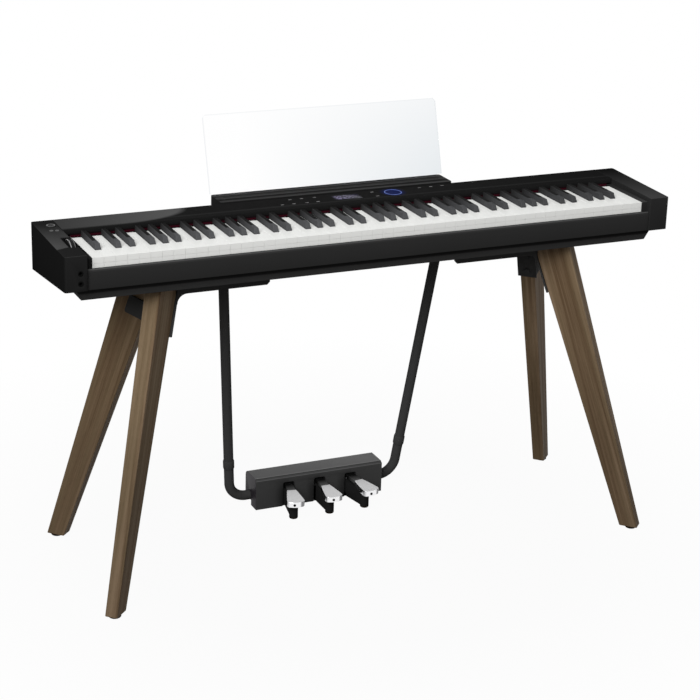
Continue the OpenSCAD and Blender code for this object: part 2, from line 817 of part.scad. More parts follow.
module tube_along_run(r, s0, s1) {
    translate([run_to(s0), 0, s0]) rotate([0, tube_splay, 0]) cyl(r, (s1 - s0) / cos(tube_splay));
}

// One tube: a short level end, a bend and the long sloping run
module tube() {
    tube_plane() {
        difference() {
            union() {
                translate([housing_w / 2 - 14, 0, 0]) rotate([0, 90, 0])
                    cyl(tube_r, bend_x - housing_w / 2 + 16);
                // the bend is a little thicker, so both straight parts end inside it
                translate([bend_x, 0, bend_r]) rotate([90, 0, 0]) rotate([0, 0, -90])
                    rotate_extrude(angle = 90 - tube_splay) translate([bend_r, 0])
                        circle(r = tube_r + 0.1);
                tube_along_run(tube_r, run_s() - 2, tube_top_s);
            }
            tube_along_run(bore_r, run_s() + 1, tube_top_s + 1);
        }
    }
}

module tube_left() {
    color([0.1, 0.1, 0.1]) mirror([1, 0, 0]) tube();
}

module tube_right() {
    color([0.1, 0.1, 0.1]) tube();
}

module tube_collars() {
    color([0.07, 0.07, 0.07]) both_sides() tube_plane() difference() {
        translate([run_to(collar_s), 0, collar_s]) rotate([0, tube_splay, 0]) rotate_extrude()
            polygon([
                [0, 0], [tube_r + 0.6, 0], [tube_r + 1.6, 3], [tube_r + 1.6, collar_len - 3],
                [tube_r + 0.6, collar_len], [0, collar_len]
            ]);
        tube_along_run(tube_r + 0.05, collar_s - 5, collar_s + collar_len + 5);
    }
}

// Steel tongue under the tray with a socket for the tube's top end
module tube_clamps() {
    top_y = tube_base_y - tube_top_s * sin(tube_lean);
    color([0.09, 0.09, 0.1]) both_sides() difference() {
        union() {
            translate([0, 0, plate_z]) linear_extrude(tray_z - plate_z) hull() {
                translate([clamp_x() - 15, clamp_y]) square([30, 1]);
                translate([clamp_x(), top_y]) circle(r = tube_r + 5, $fn = 32);
            }
            tube_plane() tube_along_run(tube_r + 3.5, tube_top_s - clamp_len, tube_top_s + 14);
        }
        tube_plane() tube_along_run(tube_r + 0.05, tube_top_s - clamp_len - 20, tube_top_s + 0.3);
        screw_places() translate([0, 0, plate_z - 1]) cyl(screw_r + 0.1, 8);
        box([clamp_x() - 40, clamp_y - 10, tray_z], [clamp_x() + 40, top_y + 40, tray_z + 20]);
    }
}

// Places children at pedal k (-1 left, 0 middle, 1 right), at its pivot
module at_pedal(k) {
    translate([k * pedal_pitch, pedal_pivot_y, 0]) rotate([0, 0, k * fan]) children();
}

module pedal_cover() {
    color([0.2, 0.2, 0.21]) difference() {
        along_x(-housing_w / 2, housing_w / 2) cover_profile(0);
        along_x(-housing_w / 2 + wall, housing_w / 2 - wall) cover_profile(wall);
        box([-housing_w, heel_y, 0], [housing_w, housing_y + housing_d + 1, heel_z]);
        for (k = [-1:1])
            translate([k * (pedal_pitch + 32 * tan(fan)), 0, 0]) along_y(housing_y - 1, housing_y + 4)
                union() {
                    translate([-notch_w / 2, housing_z - 1]) square([notch_w, notch_z - housing_z - 4]);
                    translate([-notch_w / 2 + 5, housing_z]) square([notch_w - 10, notch_z - housing_z]);
                    for (side = [-1, 1])
                        translate([side * (notch_w / 2 - 5), notch_z - 5]) circle(r = 5, $fn = 24);
                }
        both_sides() tube_plane() translate([housing_w / 2 - 10, 0, 0]) rotate([0, 90, 0])
            cyl(tube_r + 0.05, 20);
    }
}

// Section of the cover in Y and Z, open below where a margin is given
module cover_profile(m) {
    y1 = housing_y + housing_d;
    r = rear_round - m;
    polygon(concat(
        [[housing_y + m, housing_z - m], [housing_y + m, housing_top - bevel_h - m * 0.3],
         [housing_y + bevel_d + m * 0.6, housing_top - m]],
        [for (a = [0:18:90]) [y1 - rear_round + r * sin(a), housing_top - rear_round + r * cos(a)]],
        [[y1 - m, housing_z - m]]
    ));
}

// Floor plate of the pedal unit, with ears for the pins, tube sockets and one arm per pedal
module pedal_base() {
    y1 = housing_y + housing_d;
    color([0.11, 0.11, 0.12]) difference() {
        union() {
            // floor in two levels, with a riser between them
            box([-housing_w / 2 + wall + gap, housing_y + wall + gap, housing_z],
                [housing_w / 2 - wall - gap, heel_y, housing_z + wall]);
            box([-housing_w / 2 + wall + gap, heel_y - wall, housing_z],
                [housing_w / 2 - wall - gap, heel_y, heel_z + wall]);
            box([-housing_w / 2 + 14.2, heel_y - wall, heel_z],
                [housing_w / 2 - 14.2, y1 - wall - gap, heel_z + wall]);
            for (k = [-1:1]) at_pedal(k) {
                for (side = [-1, 1])
                    translate([side * (neck_w / 2 + 2.6) - 2, -7, housing_z + 1])
                        cube([4, 14, pedal_pivot_z + 7 - housing_z - 1]);
                rotate([90, 0, 90]) linear_extrude(arm_w, center = true) polygon([
                    [-27, housing_z], [-27, 42.5], [-70, arm_top_z], [-arm_foot, arm_top_z],
                    [-arm_foot, housing_z]
                ]);
                translate([0, -arm_foot, housing_z]) cyl(arm_foot_r, arm_top_z - housing_z);
            }
            // guide plates that fill the notches around the levers
            for (k = [-1:1])
                translate([k * (pedal_pitch + 30 * tan(fan)), 0, 0])
                    along_y(housing_y + wall + gap, housing_y + wall + 2.3) difference() {
                        translate([-guide_w / 2, housing_z]) square([guide_w, notch_z + 3 - housing_z]);
                        translate([-guide_slot / 2, 46]) square([guide_slot, 14]);
                    }
            both_sides() box([housing_w / 2 - 17, tube_base_y - 10.4, heel_z],
                             [housing_w / 2 - 14.2, y1 - wall - gap, tube_base_z + 12]);
        }
        for (k = [-1:1]) at_pedal(k)
            translate([-30, 0, pedal_pivot_z]) rotate([0, 90, 0]) cyl(pin_r + 0.02, 60);
    }
}

module pedal_feet() {
    color([0.05, 0.05, 0.05]) for (k = [-1:1]) at_pedal(k) translate([0, -arm_foot, 0])
        rotate_extrude() polygon(concat(
            [[0, housing_z], [0, 0]],
            [for (a = [0:18:90]) [arm_foot_r - 3 + 3 * sin(a), 3 - 3 * cos(a)]],
            [[arm_foot_r, housing_z]]
        ));
}

module pedal_pins() {
    color([0.75, 0.75, 0.77]) for (k = [-1:1]) at_pedal(k)
        translate([-15, 0, pedal_pivot_z]) rotate([0, 90, 0]) cyl(pin_r, 30);
}

// Right half of a pedal head's outline, inset by m: it widens steadily towards a rounded tip
function head_half(m) = let (
        tip = pedal_len - m,
        back = pedal_len - pedal_head,
        end = tip - head_corner - 5,
        near = head_w / 2 - m,
        far = pedal_w / 2 - m,
        flat = far - head_corner,
        tip_r = 34,
        sag = tip_r - sqrt(tip_r * tip_r - flat * flat)
    ) concat(
        [for (a = [0:0.25:1]) [flat * a, -tip + tip_r - sqrt(tip_r * tip_r - flat * flat * a * a)]],
        [for (a = [22.5:22.5:67.5]) [flat + head_corner * sin(a), -tip + sag + head_corner * 1.15 * (1 - cos(a))]],
        [for (t = [1:-0.125:0]) [near + (far - near) * t * (1.18 - 0.18 * t), -back - (end - back) * t]]
    );

module head_outline(m) {
    right = head_half(m);
    polygon(concat([for (i = [len(right) - 1:-1:1]) [-right[i][0], right[i][1]]], right));
}

// Lever with a bright hollow head
module pedal(k) {
    color([0.78, 0.78, 0.8]) at_pedal(k) translate([0, 0, pedal_pivot_z]) rotate([pedal_tilt, 0, 0])
        difference() {
            union() {
                translate([-neck_w / 2, -pedal_len + pedal_head - 6, neck_top - neck_h])
                    cube([neck_w, pedal_len - pedal_head + 18, neck_h]);
                translate([0, 0, neck_top - head_h]) linear_extrude(head_h) head_outline(0);
            }
            translate([0, 0, neck_top - head_h - 1]) linear_extrude(head_h - skin + 1)
                difference() {
                    head_outline(skin);
                    translate([-neck_w / 2, -pedal_len + pedal_head - 6]) square([neck_w, 20]);
                }
            translate([-arm_w / 2 - 1, -pedal_len + pedal_head - 20, neck_top - head_h - 1])
                cube([arm_w + 2, 24, head_h - neck_h + 1]);
            translate([-neck_w, 0, 0]) rotate([0, 90, 0]) cyl(pin_r + 0.05, 2 * neck_w);
            translate([0, -pedal_len + 1.5, neck_top - head_h / 2 - 0.5]) rotate([90, 0, 0]) cyl(2.6, 6);
        }
}

// Wire coil between the floor plate and the lever
module pedal_spring(k) {
    z0 = housing_z + wall + spring_wire / 2 + 0.05;
    z1 = pedal_pivot_z + (neck_top - neck_h) * cos(pedal_tilt)
        - (spring_at + spring_r) * sin(pedal_tilt) - spring_wire / 2 - 0.1;
    steps = 12 * spring_turns;
    sides = 6;
    points = [for (i = [0:steps], j = [0:sides - 1])
        let (a = 360 * i / 12, b = 360 * j / sides, r = spring_r + spring_wire / 2 * cos(b))
            [r * cos(a), r * sin(a), z0 + (z1 - z0) * i / steps + spring_wire / 2 * sin(b)]];
    faces = concat(
        [[for (j = [0:sides - 1]) j]],
        [for (i = [0:steps - 1], j = [0:sides - 1])
            [i * sides + j, (i + 1) * sides + j,
             (i + 1) * sides + (j + 1) % sides, i * sides + (j + 1) % sides]],
        [[for (j = [sides - 1:-1:0]) steps * sides + j]]
    );
    color([0.7, 0.7, 0.72]) at_pedal(k) translate([0, -spring_at, 0]) polyhedron(points, faces);
}

// ---------------------------------------------------------------- drawing

bottom_tray();
front_rail();
left_end_block();
right_end_block();
top_panel();
rear_panel();
felt_strip();
key_frame();
balance_rod();
key_sensor_board();
main_board();
speakers();
display_glass();
panel_lights();
volume_knob();
power_button();
function_button();
bend_wheel();
phone_jacks();
rest_shelf();
music_panel();
white_keys(0, middle_first - 1);  // white_keys_bass
white_keys(middle_last + 1, white_count - 1);  // white_keys_treble
black_keys(0, middle_first - 1);  // black_keys_bass
black_keys(middle_last + 1, white_count - 1);  // black_keys_treble
white_keys(middle_first, middle_first);  // key_c4
black_keys(middle_first, middle_first);  // key_c_sharp4
white_keys(middle_first + 1, middle_first + 1);  // key_d4
black_keys(middle_first + 1, middle_first + 1);  // key_d_sharp4
white_keys(middle_first + 2, middle_first + 2);  // key_e4
white_keys(middle_first + 3, middle_first + 3);  // key_f4
black_keys(middle_first + 3, middle_first + 3);  // key_f_sharp4
white_keys(middle_first + 4, middle_first + 4);  // key_g4
black_keys(middle_first + 4, middle_first + 4);  // key_g_sharp4
white_keys(middle_first + 5, middle_first + 5);  // key_a4
black_keys(middle_first + 5, middle_first + 5);  // key_a_sharp4
white_keys(middle_last, middle_last);  // key_b4
leg(2);  // leg_front_left
leg(3);  // leg_front_right
leg(1);  // leg_rear_left
leg(0);  // leg_rear_right
floor_glides();
bracket_left();
bracket_right();
leg_bolts();
body_screws();
tube_left();
tube_right();
tube_collars();
tube_clamps();
pedal_cover();
pedal_base();
pedal_feet();
pedal_pins();
pedal(-1);  // soft_pedal
pedal(0);  // sostenuto_pedal
pedal(1);  // damper_pedal
pedal_spring(-1);  // soft_spring
pedal_spring(0);  // sostenuto_spring
pedal_spring(1);  // damper_spring
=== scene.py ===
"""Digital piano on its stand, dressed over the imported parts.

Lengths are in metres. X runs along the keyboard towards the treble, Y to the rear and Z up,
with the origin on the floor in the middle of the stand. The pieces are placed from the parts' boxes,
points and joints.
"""

import json
import math

import bmesh
import bpy
import numpy as np
from mathutils import Matrix, Vector


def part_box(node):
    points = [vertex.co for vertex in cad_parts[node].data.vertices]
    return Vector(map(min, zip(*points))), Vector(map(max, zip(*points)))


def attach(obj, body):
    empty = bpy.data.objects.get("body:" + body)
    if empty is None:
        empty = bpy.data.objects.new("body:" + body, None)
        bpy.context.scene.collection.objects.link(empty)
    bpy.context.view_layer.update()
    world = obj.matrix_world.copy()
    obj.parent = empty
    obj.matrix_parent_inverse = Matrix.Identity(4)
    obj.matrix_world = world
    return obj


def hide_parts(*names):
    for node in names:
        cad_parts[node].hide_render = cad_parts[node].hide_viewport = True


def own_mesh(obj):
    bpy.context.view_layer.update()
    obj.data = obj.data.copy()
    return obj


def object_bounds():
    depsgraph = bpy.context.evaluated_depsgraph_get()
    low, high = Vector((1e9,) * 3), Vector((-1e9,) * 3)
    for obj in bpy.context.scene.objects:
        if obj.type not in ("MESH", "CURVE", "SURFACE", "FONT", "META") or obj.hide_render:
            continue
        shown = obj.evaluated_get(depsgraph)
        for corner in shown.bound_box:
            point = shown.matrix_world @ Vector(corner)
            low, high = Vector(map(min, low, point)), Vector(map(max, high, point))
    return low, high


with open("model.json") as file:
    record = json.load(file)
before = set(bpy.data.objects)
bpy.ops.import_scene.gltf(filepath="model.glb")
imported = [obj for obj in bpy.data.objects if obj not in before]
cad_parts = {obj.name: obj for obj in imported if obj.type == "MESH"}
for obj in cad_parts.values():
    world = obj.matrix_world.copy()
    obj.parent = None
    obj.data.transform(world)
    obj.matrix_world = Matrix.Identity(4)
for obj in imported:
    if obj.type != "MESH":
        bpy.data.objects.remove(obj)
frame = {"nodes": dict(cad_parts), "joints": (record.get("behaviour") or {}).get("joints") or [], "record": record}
NODES = frame["nodes"]
RECORD = frame["record"]
CAD_BOX = [list(map(float, c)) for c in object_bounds()]
MM = 0.001

NODE_BODY = {n: b for b, ns in RECORD["behaviour"]["bodies"].items() for n in ns}


# ------------------------------------------------------------------ mesh building


def closed_grid(rows, around):
    """Quads of a grid of rows x around points: point (i, j) is number i * around + j."""
    i = np.arange(rows - 1)[:, None]
    j = np.arange(around)[None, :]
    k = (j + 1) % around
    a = i * around + j
    b = i * around + k
    c = (i + 1) * around + k
    d = (i + 1) * around + j
    return np.stack([a, b, c, d], axis=-1).reshape(-1, 4)


def ring_stack(rings):
    """Skin over stacked rings of equal count, of shape (rings, points, 3), with a flat cap at each end."""
    rings = np.asarray(rings, float)
    rows, around = rings.shape[:2]
    faces = closed_grid(rows, around).tolist()
    faces.append(list(range(around))[::-1])
    faces.append([(rows - 1) * around + j for j in range(around)])
    return rings.reshape(-1, 3), faces


def many(shapes):
    """Joins (points, faces) pairs into one pair."""
    points, faces, base = [], [], 0
    for p, f in shapes:
        points.append(p)
        faces += [[base + v for v in face] for face in f]
        base += len(p)
    return np.concatenate(points), faces


def piece(name, shape, body, material, nodes=(), sharp=35):
    """A new mesh object from (points, faces), smooth but for edges sharper than the given angle. Its flat
    faces are lit flat and only the rounded edges between them turn."""
    points, faces = shape
    mesh = bpy.data.meshes.new(name)
    mesh.from_pydata(np.asarray(points, float).tolist(), [], faces)
    mesh.polygons.foreach_set("use_smooth", np.ones(len(mesh.polygons), bool))
    mesh.set_sharp_from_angle(angle=math.radians(sharp))
    mesh.update()
    obj = bpy.data.objects.new(name, mesh)
    bpy.context.scene.collection.objects.link(obj)
    obj.modifiers.new("flat faces", "WEIGHTED_NORMAL").keep_sharp = True
    for m in material if isinstance(material, (list, tuple)) else [material]:
        mesh.materials.append(m)
    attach(obj, body)
    if nodes:
        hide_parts(*nodes)
    return obj


def dressed(node, material, edge=0.5, segments=2, angle=28):
    """A merged copy of a part with softened edges, which stands for the part itself."""
    mesh = NODES[node].data.copy()
    mesh.name = node + "_dressed"
    work = bmesh.new()
    work.from_mesh(mesh)
    bmesh.ops.remove_doubles(work, verts=work.verts, dist=2e-6)
    bmesh.ops.dissolve_limit(work, angle_limit=math.radians(0.6), verts=work.verts, edges=work.edges)
    work.to_mesh(mesh)
    work.free()
    mesh.materials.clear()
    mesh.materials.append(material)
    mesh.polygons.foreach_set("use_smooth", np.ones(len(mesh.polygons), bool))
    obj = bpy.data.objects.new(node + "_dressed", mesh)
    bpy.context.scene.collection.objects.link(obj)
    if edge:
        bevel = obj.modifiers.new("soft edges", "BEVEL")
        bevel.width = edge * MM
        bevel.segments = segments
        bevel.limit_method = "ANGLE"
        bevel.angle_limit = math.radians(angle)
        bevel.use_clamp_overlap = True
        bevel.harden_normals = True
    else:
        mesh.set_sharp_from_angle(angle=math.radians(angle))
    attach(obj, NODE_BODY[node])
    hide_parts(node)
    return obj


# ------------------------------------------------------------------ shader helpers

FLOAT, COLOR, VECTOR = "NodeSocketFloat", "NodeSocketColor", "NodeSocketVector"


def feed(tree, socket, value):
    """Links a node's output to a socket, or sets the socket to a plain value."""
    if isinstance(value, bpy.types.NodeSocket):
        tree.links.new(value, socket)
    else:
        socket.default_value = value


def add(tree, kind, **inputs):
    """A new node; a key that isn't a property names a socket, with _ for a space."""
    node = tree.nodes.new(kind)
    for key, value in inputs.items():
        if hasattr(node, key):
            setattr(node, key, value)
    for key, value in inputs.items():
        if not hasattr(node, key):
            feed(tree, node.inputs[key.replace("_", " ")], value)
    return node


def calc(tree, operation, *values):
    """Result of a Math node."""
    node = add(tree, "ShaderNodeMath", operation=operation)
    for socket, value in zip(node.inputs, values):
        feed(tree, socket, value)
    return node.outputs[0]


def spread(tree, value, low, high, start=0.0, stop=1.0):
    """Carries a value from low..high to start..stop, and holds it at both ends."""
    node = add(tree, "ShaderNodeMapRange", Value=value, From_Min=low, From_Max=high, To_Min=start,
               To_Max=stop)
    return node.outputs[0]


def between(tree, mask, first, second):
    """Colour that goes from the first to the second with the mask."""
    node = add(tree, "ShaderNodeMix", data_type="RGBA")
    feed(tree, node.inputs["Factor"], mask)
    for socket, value in ((node.inputs["A"], first), (node.inputs["B"], second)):
        feed(tree, socket, value if isinstance(value, bpy.types.NodeSocket) else (*value, 1))
    return node.outputs["Result"]


def grey(level):
    """Neutral colour of that lightness."""
    return (level, level, level)


def band(tree, value, low, high, soft):
    """1 between low and high and 0 outside, with soft sides."""
    rise = spread(tree, value, low - soft, low + soft)
    fall = spread(tree, value, high - soft, high + soft, 1.0, 0.0)
    return calc(tree, "MULTIPLY", rise, fall)


def place_of(tree):
    """Object coordinates, whole as "spot" and split as x, y and z, and the normal as nx, ny and nz."""
    where = add(tree, "ShaderNodeTexCoord")
    spot = add(tree, "ShaderNodeSeparateXYZ", Vector=where.outputs["Object"])
    facing = add(tree, "ShaderNodeSeparateXYZ", Vector=where.outputs["Normal"])
    at = {key.lower(): spot.outputs[key] for key in "XYZ"}
    at.update({"n" + key.lower(): facing.outputs[key] for key in "XYZ"})
    at["spot"] = where.outputs["Object"]
    return at


def new_material(name):
    """A material with one Principled shader: (material, its tree, the shader)."""
    mat = bpy.data.materials.new(name)
    mat.use_nodes = True
    return mat, mat.node_tree, mat.node_tree.nodes["Principled BSDF"]


def relief(tree, shader, height, strength, distance):
    """Gives the shader a bump from a height between 0 and 1."""
    bump = add(tree, "ShaderNodeBump", Strength=strength, Distance=distance, Height=height)
    feed(tree, shader.inputs["Normal"], bump.outputs["Normal"])


def group(name, inputs, outputs):
    """An empty node group with those sockets: (its tree, the inside ends of its sockets)."""
    tree = bpy.data.node_groups.new(name, "ShaderNodeTree")
    for label, kind, value in inputs:
        socket = tree.interface.new_socket(label, in_out="INPUT", socket_type=kind)
        if value is not None:
            socket.default_value = value
    for label, kind in outputs:
        tree.interface.new_socket(label, in_out="OUTPUT", socket_type=kind)
    return tree, tree.nodes.new("NodeGroupInput").outputs, tree.nodes.new("NodeGroupOutput").inputs


def grained_skin_group():
    """Moulded or powder-coated surface: fine pits for the bump and a slow drift of tone and gloss."""
    tree, given, result = group(
        "grained skin",
        [("Vector", VECTOR, None), ("Color", COLOR, (0.02, 0.02, 0.02, 1)), ("Grain Size", FLOAT, 900.0),
         ("Tone Drift", FLOAT, 0.12), ("Roughness", FLOAT, 0.5), ("Roughness Drift", FLOAT, 0.08)],
        [("Color", COLOR), ("Roughness", FLOAT), ("Height", FLOAT)],
    )
    fine = add(tree, "ShaderNodeTexNoise", Vector=given["Vector"], Scale=given["Grain Size"], Detail=2.0,
               Roughness=0.6)
    slow = add(tree, "ShaderNodeTexNoise", Vector=given["Vector"], Scale=7.0, Detail=3.0)
    centred = calc(tree, "SUBTRACT", slow.outputs["Fac"], 0.5)
    tone = calc(tree, "MULTIPLY_ADD", centred, given["Tone Drift"], 1.0)
    shade = add(tree, "ShaderNodeVectorMath", operation="SCALE", Scale=tone)
    feed(tree, shade.inputs[0], given["Color"])
    feed(tree, result["Color"], shade.outputs[0])
    feed(tree, result["Roughness"],
         calc(tree, "MULTIPLY_ADD", centred, given["Roughness Drift"], given["Roughness"]))
    feed(tree, result["Height"], fine.outputs["Fac"])
    return tree


def drawn_lines_group():
    """Fine lines that run along one axis, as brush marks or a long moulding grain."""
    tree, given, result = group(
        "drawn lines",
        [("Vector", VECTOR, None), ("Stretch", VECTOR, (40.0, 900.0, 900.0)), ("Roughness", FLOAT, 0.3),
         ("Spread", FLOAT, 0.15)],
        [("Roughness", FLOAT), ("Lines", FLOAT)],
    )
    scaled = add(tree, "ShaderNodeVectorMath", operation="MULTIPLY")
    feed(tree, scaled.inputs[0], given["Vector"])
    feed(tree, scaled.inputs[1], given["Stretch"])
    lines = add(tree, "ShaderNodeTexNoise", Vector=scaled.outputs[0], Scale=1.0, Detail=3.0, Roughness=0.6)
    fac = lines.outputs["Fac"]
    feed(tree, result["Roughness"], calc(tree, "MULTIPLY_ADD", fac, given["Spread"], given["Roughness"]))
    feed(tree, result["Lines"], fac)
    return tree


SKIN = grained_skin_group()
LINES = drawn_lines_group()


# ------------------------------------------------------------------ materials


def plastic(name, color, roughness, specular, grain=900.0, bump=0.02, drift=0.12, gloss_drift=0.08,
            shade=None, glow=None):
    """Moulded or coated surface. shade(tree, at) may give the colour and glow(tree, at) a faint light."""
    mat, tree, shader = new_material(name)
    at = place_of(tree)
    skin = add(tree, "ShaderNodeGroup", node_tree=SKIN)
    for label, value in (("Vector", at["spot"]), ("Grain Size", grain), ("Tone Drift", drift),
                         ("Roughness", roughness), ("Roughness Drift", gloss_drift),
                         ("Color", shade(tree, at) if shade else (*color, 1))):
        feed(tree, skin.inputs[label], value)
    feed(tree, shader.inputs["Base Color"], skin.outputs["Color"])
    feed(tree, shader.inputs["Roughness"], skin.outputs["Roughness"])
    relief(tree, shader, skin.outputs["Height"], 0.25, bump * MM)
    shader.inputs["Specular IOR Level"].default_value = specular
    if glow:
        feed(tree, shader.inputs["Emission Color"], glow(tree, at))
        shader.inputs["Emission Strength"].default_value = 1.0
    return mat


def metal(name, color, roughness, stretch=(40.0, 900.0, 900.0), gloss_drift=0.15, bump=0.01,
          speckle=0.0, shade=None):
    """Bare metal with brush marks along the axis that is stretched least, and a fine speckle."""
    mat, tree, shader = new_material(name)
    at = place_of(tree)
    marks = add(tree, "ShaderNodeGroup", node_tree=LINES)
    for label, value in (("Vector", at["spot"]), ("Stretch", stretch), ("Roughness", roughness),
                         ("Spread", gloss_drift)):
        feed(tree, marks.inputs[label], value)
    feed(tree, shader.inputs["Roughness"], marks.outputs["Roughness"])
    relief(tree, shader, marks.outputs["Lines"], 0.2, bump * MM)
    dots = add(tree, "ShaderNodeTexNoise", Vector=at["spot"], Scale=900.0, Detail=1.0)
    tone = spread(tree, dots.outputs["Fac"], 0.35, 0.65)
    base = between(tree, tone, [c * (1 - speckle) for c in color], color)
    feed(tree, shader.inputs["Base Color"], shade(tree, base) if shade else base)
    shader.inputs["Metallic"].default_value = 1.0
    return mat


def walnut_material():
    """Oiled walnut: slow lengthwise bands of olive, brown and grey wood, fine grain lines and short dark
    pores, and painted shade that makes it darker towards the floor. It reads the leg's own coordinates,
    whose Z runs along the leg."""
    mat, tree, shader = new_material("oiled walnut")
    where = add(tree, "ShaderNodeAttribute", attribute_name="along_grain").outputs["Vector"]

    def streaks(scale, detail, roughness, distortion=0.0):
        """Noise stretched by a scale for each axis of the leg."""
        at = add(tree, "ShaderNodeMapping", Vector=where, Scale=scale)
        tex = add(tree, "ShaderNodeTexNoise", Vector=at.outputs["Vector"], Scale=1.0, Detail=detail,
                  Roughness=roughness, Distortion=distortion)
        return tex.outputs["Fac"]

    bands = streaks((70.0, 70.0, 0.9), 2.0, 0.5, 0.3)
    fine = streaks((420.0, 420.0, 4.0), 4.0, 0.6)
    pores = streaks((1500.0, 1500.0, 45.0), 2.0, 0.5)
    hue = streaks((45.0, 45.0, 0.7), 1.0, 0.5)
    tone = calc(tree, "MULTIPLY_ADD", fine, 0.3, calc(tree, "MULTIPLY", bands, 0.7))
    ramp = add(tree, "ShaderNodeValToRGB", Fac=tone)
    stops = ramp.color_ramp
    stops.elements[0].position, stops.elements[0].color = 0.36, (0.084, 0.053, 0.029, 1)
    stops.elements[1].position, stops.elements[1].color = 0.64, (0.195, 0.137, 0.087, 1)
    stops.elements.new(0.5).color = (0.135, 0.091, 0.054, 1)
    olive = between(tree, spread(tree, hue, 0.42, 0.62), ramp.outputs["Color"], (0.12, 0.09, 0.05))
    partly = calc(tree, "MULTIPLY", spread(tree, hue, 0.42, 0.62), 0.4)
    tinted = between(tree, partly, ramp.outputs["Color"], olive)
    # painted shade: the wood grows darker towards the floor
    floor_shade = spread(tree, place_of(tree)["z"], 0.2, 0.6, 0.86, 1.3)
    shade = calc(tree, "MULTIPLY", spread(tree, pores, 0.3, 0.42, 0.72, 1.0), floor_shade)
    wood = add(tree, "ShaderNodeVectorMath", operation="SCALE", Scale=shade)
    feed(tree, wood.inputs[0], tinted)
    feed(tree, shader.inputs["Base Color"], wood.outputs[0])
    feed(tree, shader.inputs["Roughness"], spread(tree, tone, 0.3, 0.7, 0.62, 0.5))
    relief(tree, shader, pores, 0.3, 0.1 * MM)
    shader.inputs["Specular IOR Level"].default_value = 0.05
    return mat


def felt_material():
    """Pressed wool felt: fibres as fine noise in colour and height, with sheen. It is red along its foot
    and in deep shade above."""
    mat, tree, shader = new_material("red felt")
    at = place_of(tree)
    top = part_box("key_c4")[1].z
    noise = add(tree, "ShaderNodeTexNoise", Vector=at["spot"], Scale=1400.0, Detail=4.0, Roughness=0.7)
    fibres = noise.outputs["Fac"]
    red = between(tree, fibres, (0.012, 0.001, 0.003), (0.065, 0.005, 0.014))
    shade = spread(tree, at["z"], top + 1.5 * MM, top + 3.5 * MM)
    feed(tree, shader.inputs["Base Color"], between(tree, shade, red, (0.006, 0.0035, 0.004)))
    relief(tree, shader, fibres, 0.6, 0.3 * MM)
    shader.inputs["Roughness"].default_value = 0.95
    shader.inputs["Specular IOR Level"].default_value = 0.0
    shader.inputs["Sheen Weight"].default_value = 0.02
    return mat


def acrylic_material():
    """Clear acrylic: a faint painted dark reflection that grows to the lower treble corner, greyer rims,
    light hand marks."""
    mat, tree, shader = new_material("clear acrylic")
    at = place_of(tree)
    low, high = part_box("music_panel")
    across = spread(tree, at["x"], low.x * 0.7, high.x)
    down = spread(tree, at["z"], high.z, low.z, 0.45, 1.0)
    # painted reflection: the clear colour greys towards the lower treble corner
    painted_reflection = calc(tree, "MULTIPLY", across, down)
    reflected_clear = between(tree, painted_reflection, (0.997, 0.997, 0.998), (0.79, 0.825, 0.85))
    side = calc(tree, "ABSOLUTE", at["nx"])
    ends = spread(tree, calc(tree, "ABSOLUTE", at["x"]), high.x - 2.4 * MM, high.x - 1.6 * MM)
    border = calc(tree, "MAXIMUM", ends, spread(tree, at["z"], high.z - 2.6 * MM, high.z - 1.8 * MM))
    edges = calc(tree, "MAXIMUM", spread(tree, side, 0.5, 0.9), spread(tree, at["nz"], 0.6, 0.9))
    rim = calc(tree, "MAXIMUM", edges, calc(tree, "MULTIPLY", border, 0.45))
    feed(tree, shader.inputs["Base Color"], between(tree, rim, reflected_clear, (0.8, 0.82, 0.84)))
    marks = add(tree, "ShaderNodeTexNoise", Vector=at["spot"], Scale=9.0, Detail=4.0)
    feed(tree, shader.inputs["Roughness"], spread(tree, marks.outputs["Fac"], 0.35, 0.75, 0.0, 0.04))
    shader.inputs["IOR"].default_value = 1.1
    shader.inputs["Transmission Weight"].default_value = 1.0
    return mat


def display_material():
    """Dark display window with a few soft rows of lit segments, brighter towards the middle row."""
    mat, tree, shader = new_material("display window")
    at = place_of(tree)
    low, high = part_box("display_glass")
    cells = add(tree, "ShaderNodeMapping", Vector=at["spot"], Scale=(170.0, 330.0, 1.0))
    blocks = add(tree, "ShaderNodeTexNoise", Vector=cells.outputs["Vector"], Scale=1.0, Detail=2.0)
    lit = spread(tree, blocks.outputs["Fac"], 0.46, 0.58)
    rows = band(tree, at["y"], low.y + 4 * MM, high.y - 4 * MM, 3 * MM)
    width = band(tree, at["x"], low.x + 4 * MM, high.x - 5 * MM, 4 * MM)
    fading = spread(tree, at["x"], low.x + 15 * MM, high.x - 8 * MM, 1.0, 0.3)
    mask = calc(tree, "MULTIPLY", calc(tree, "MULTIPLY", rows, width), calc(tree, "MULTIPLY", lit, fading))
    shine = between(tree, mask, (0.008, 0.007, 0.013), (0.17, 0.15, 0.26))
    feed(tree, shader.inputs["Emission Color"], shine)
    shader.inputs["Emission Strength"].default_value = 1.0
    shader.inputs["Base Color"].default_value = (0.006, 0.006, 0.008, 1)
    shader.inputs["Roughness"].default_value = 0.2
    shader.inputs["Specular IOR Level"].default_value = 0.02
    return mat


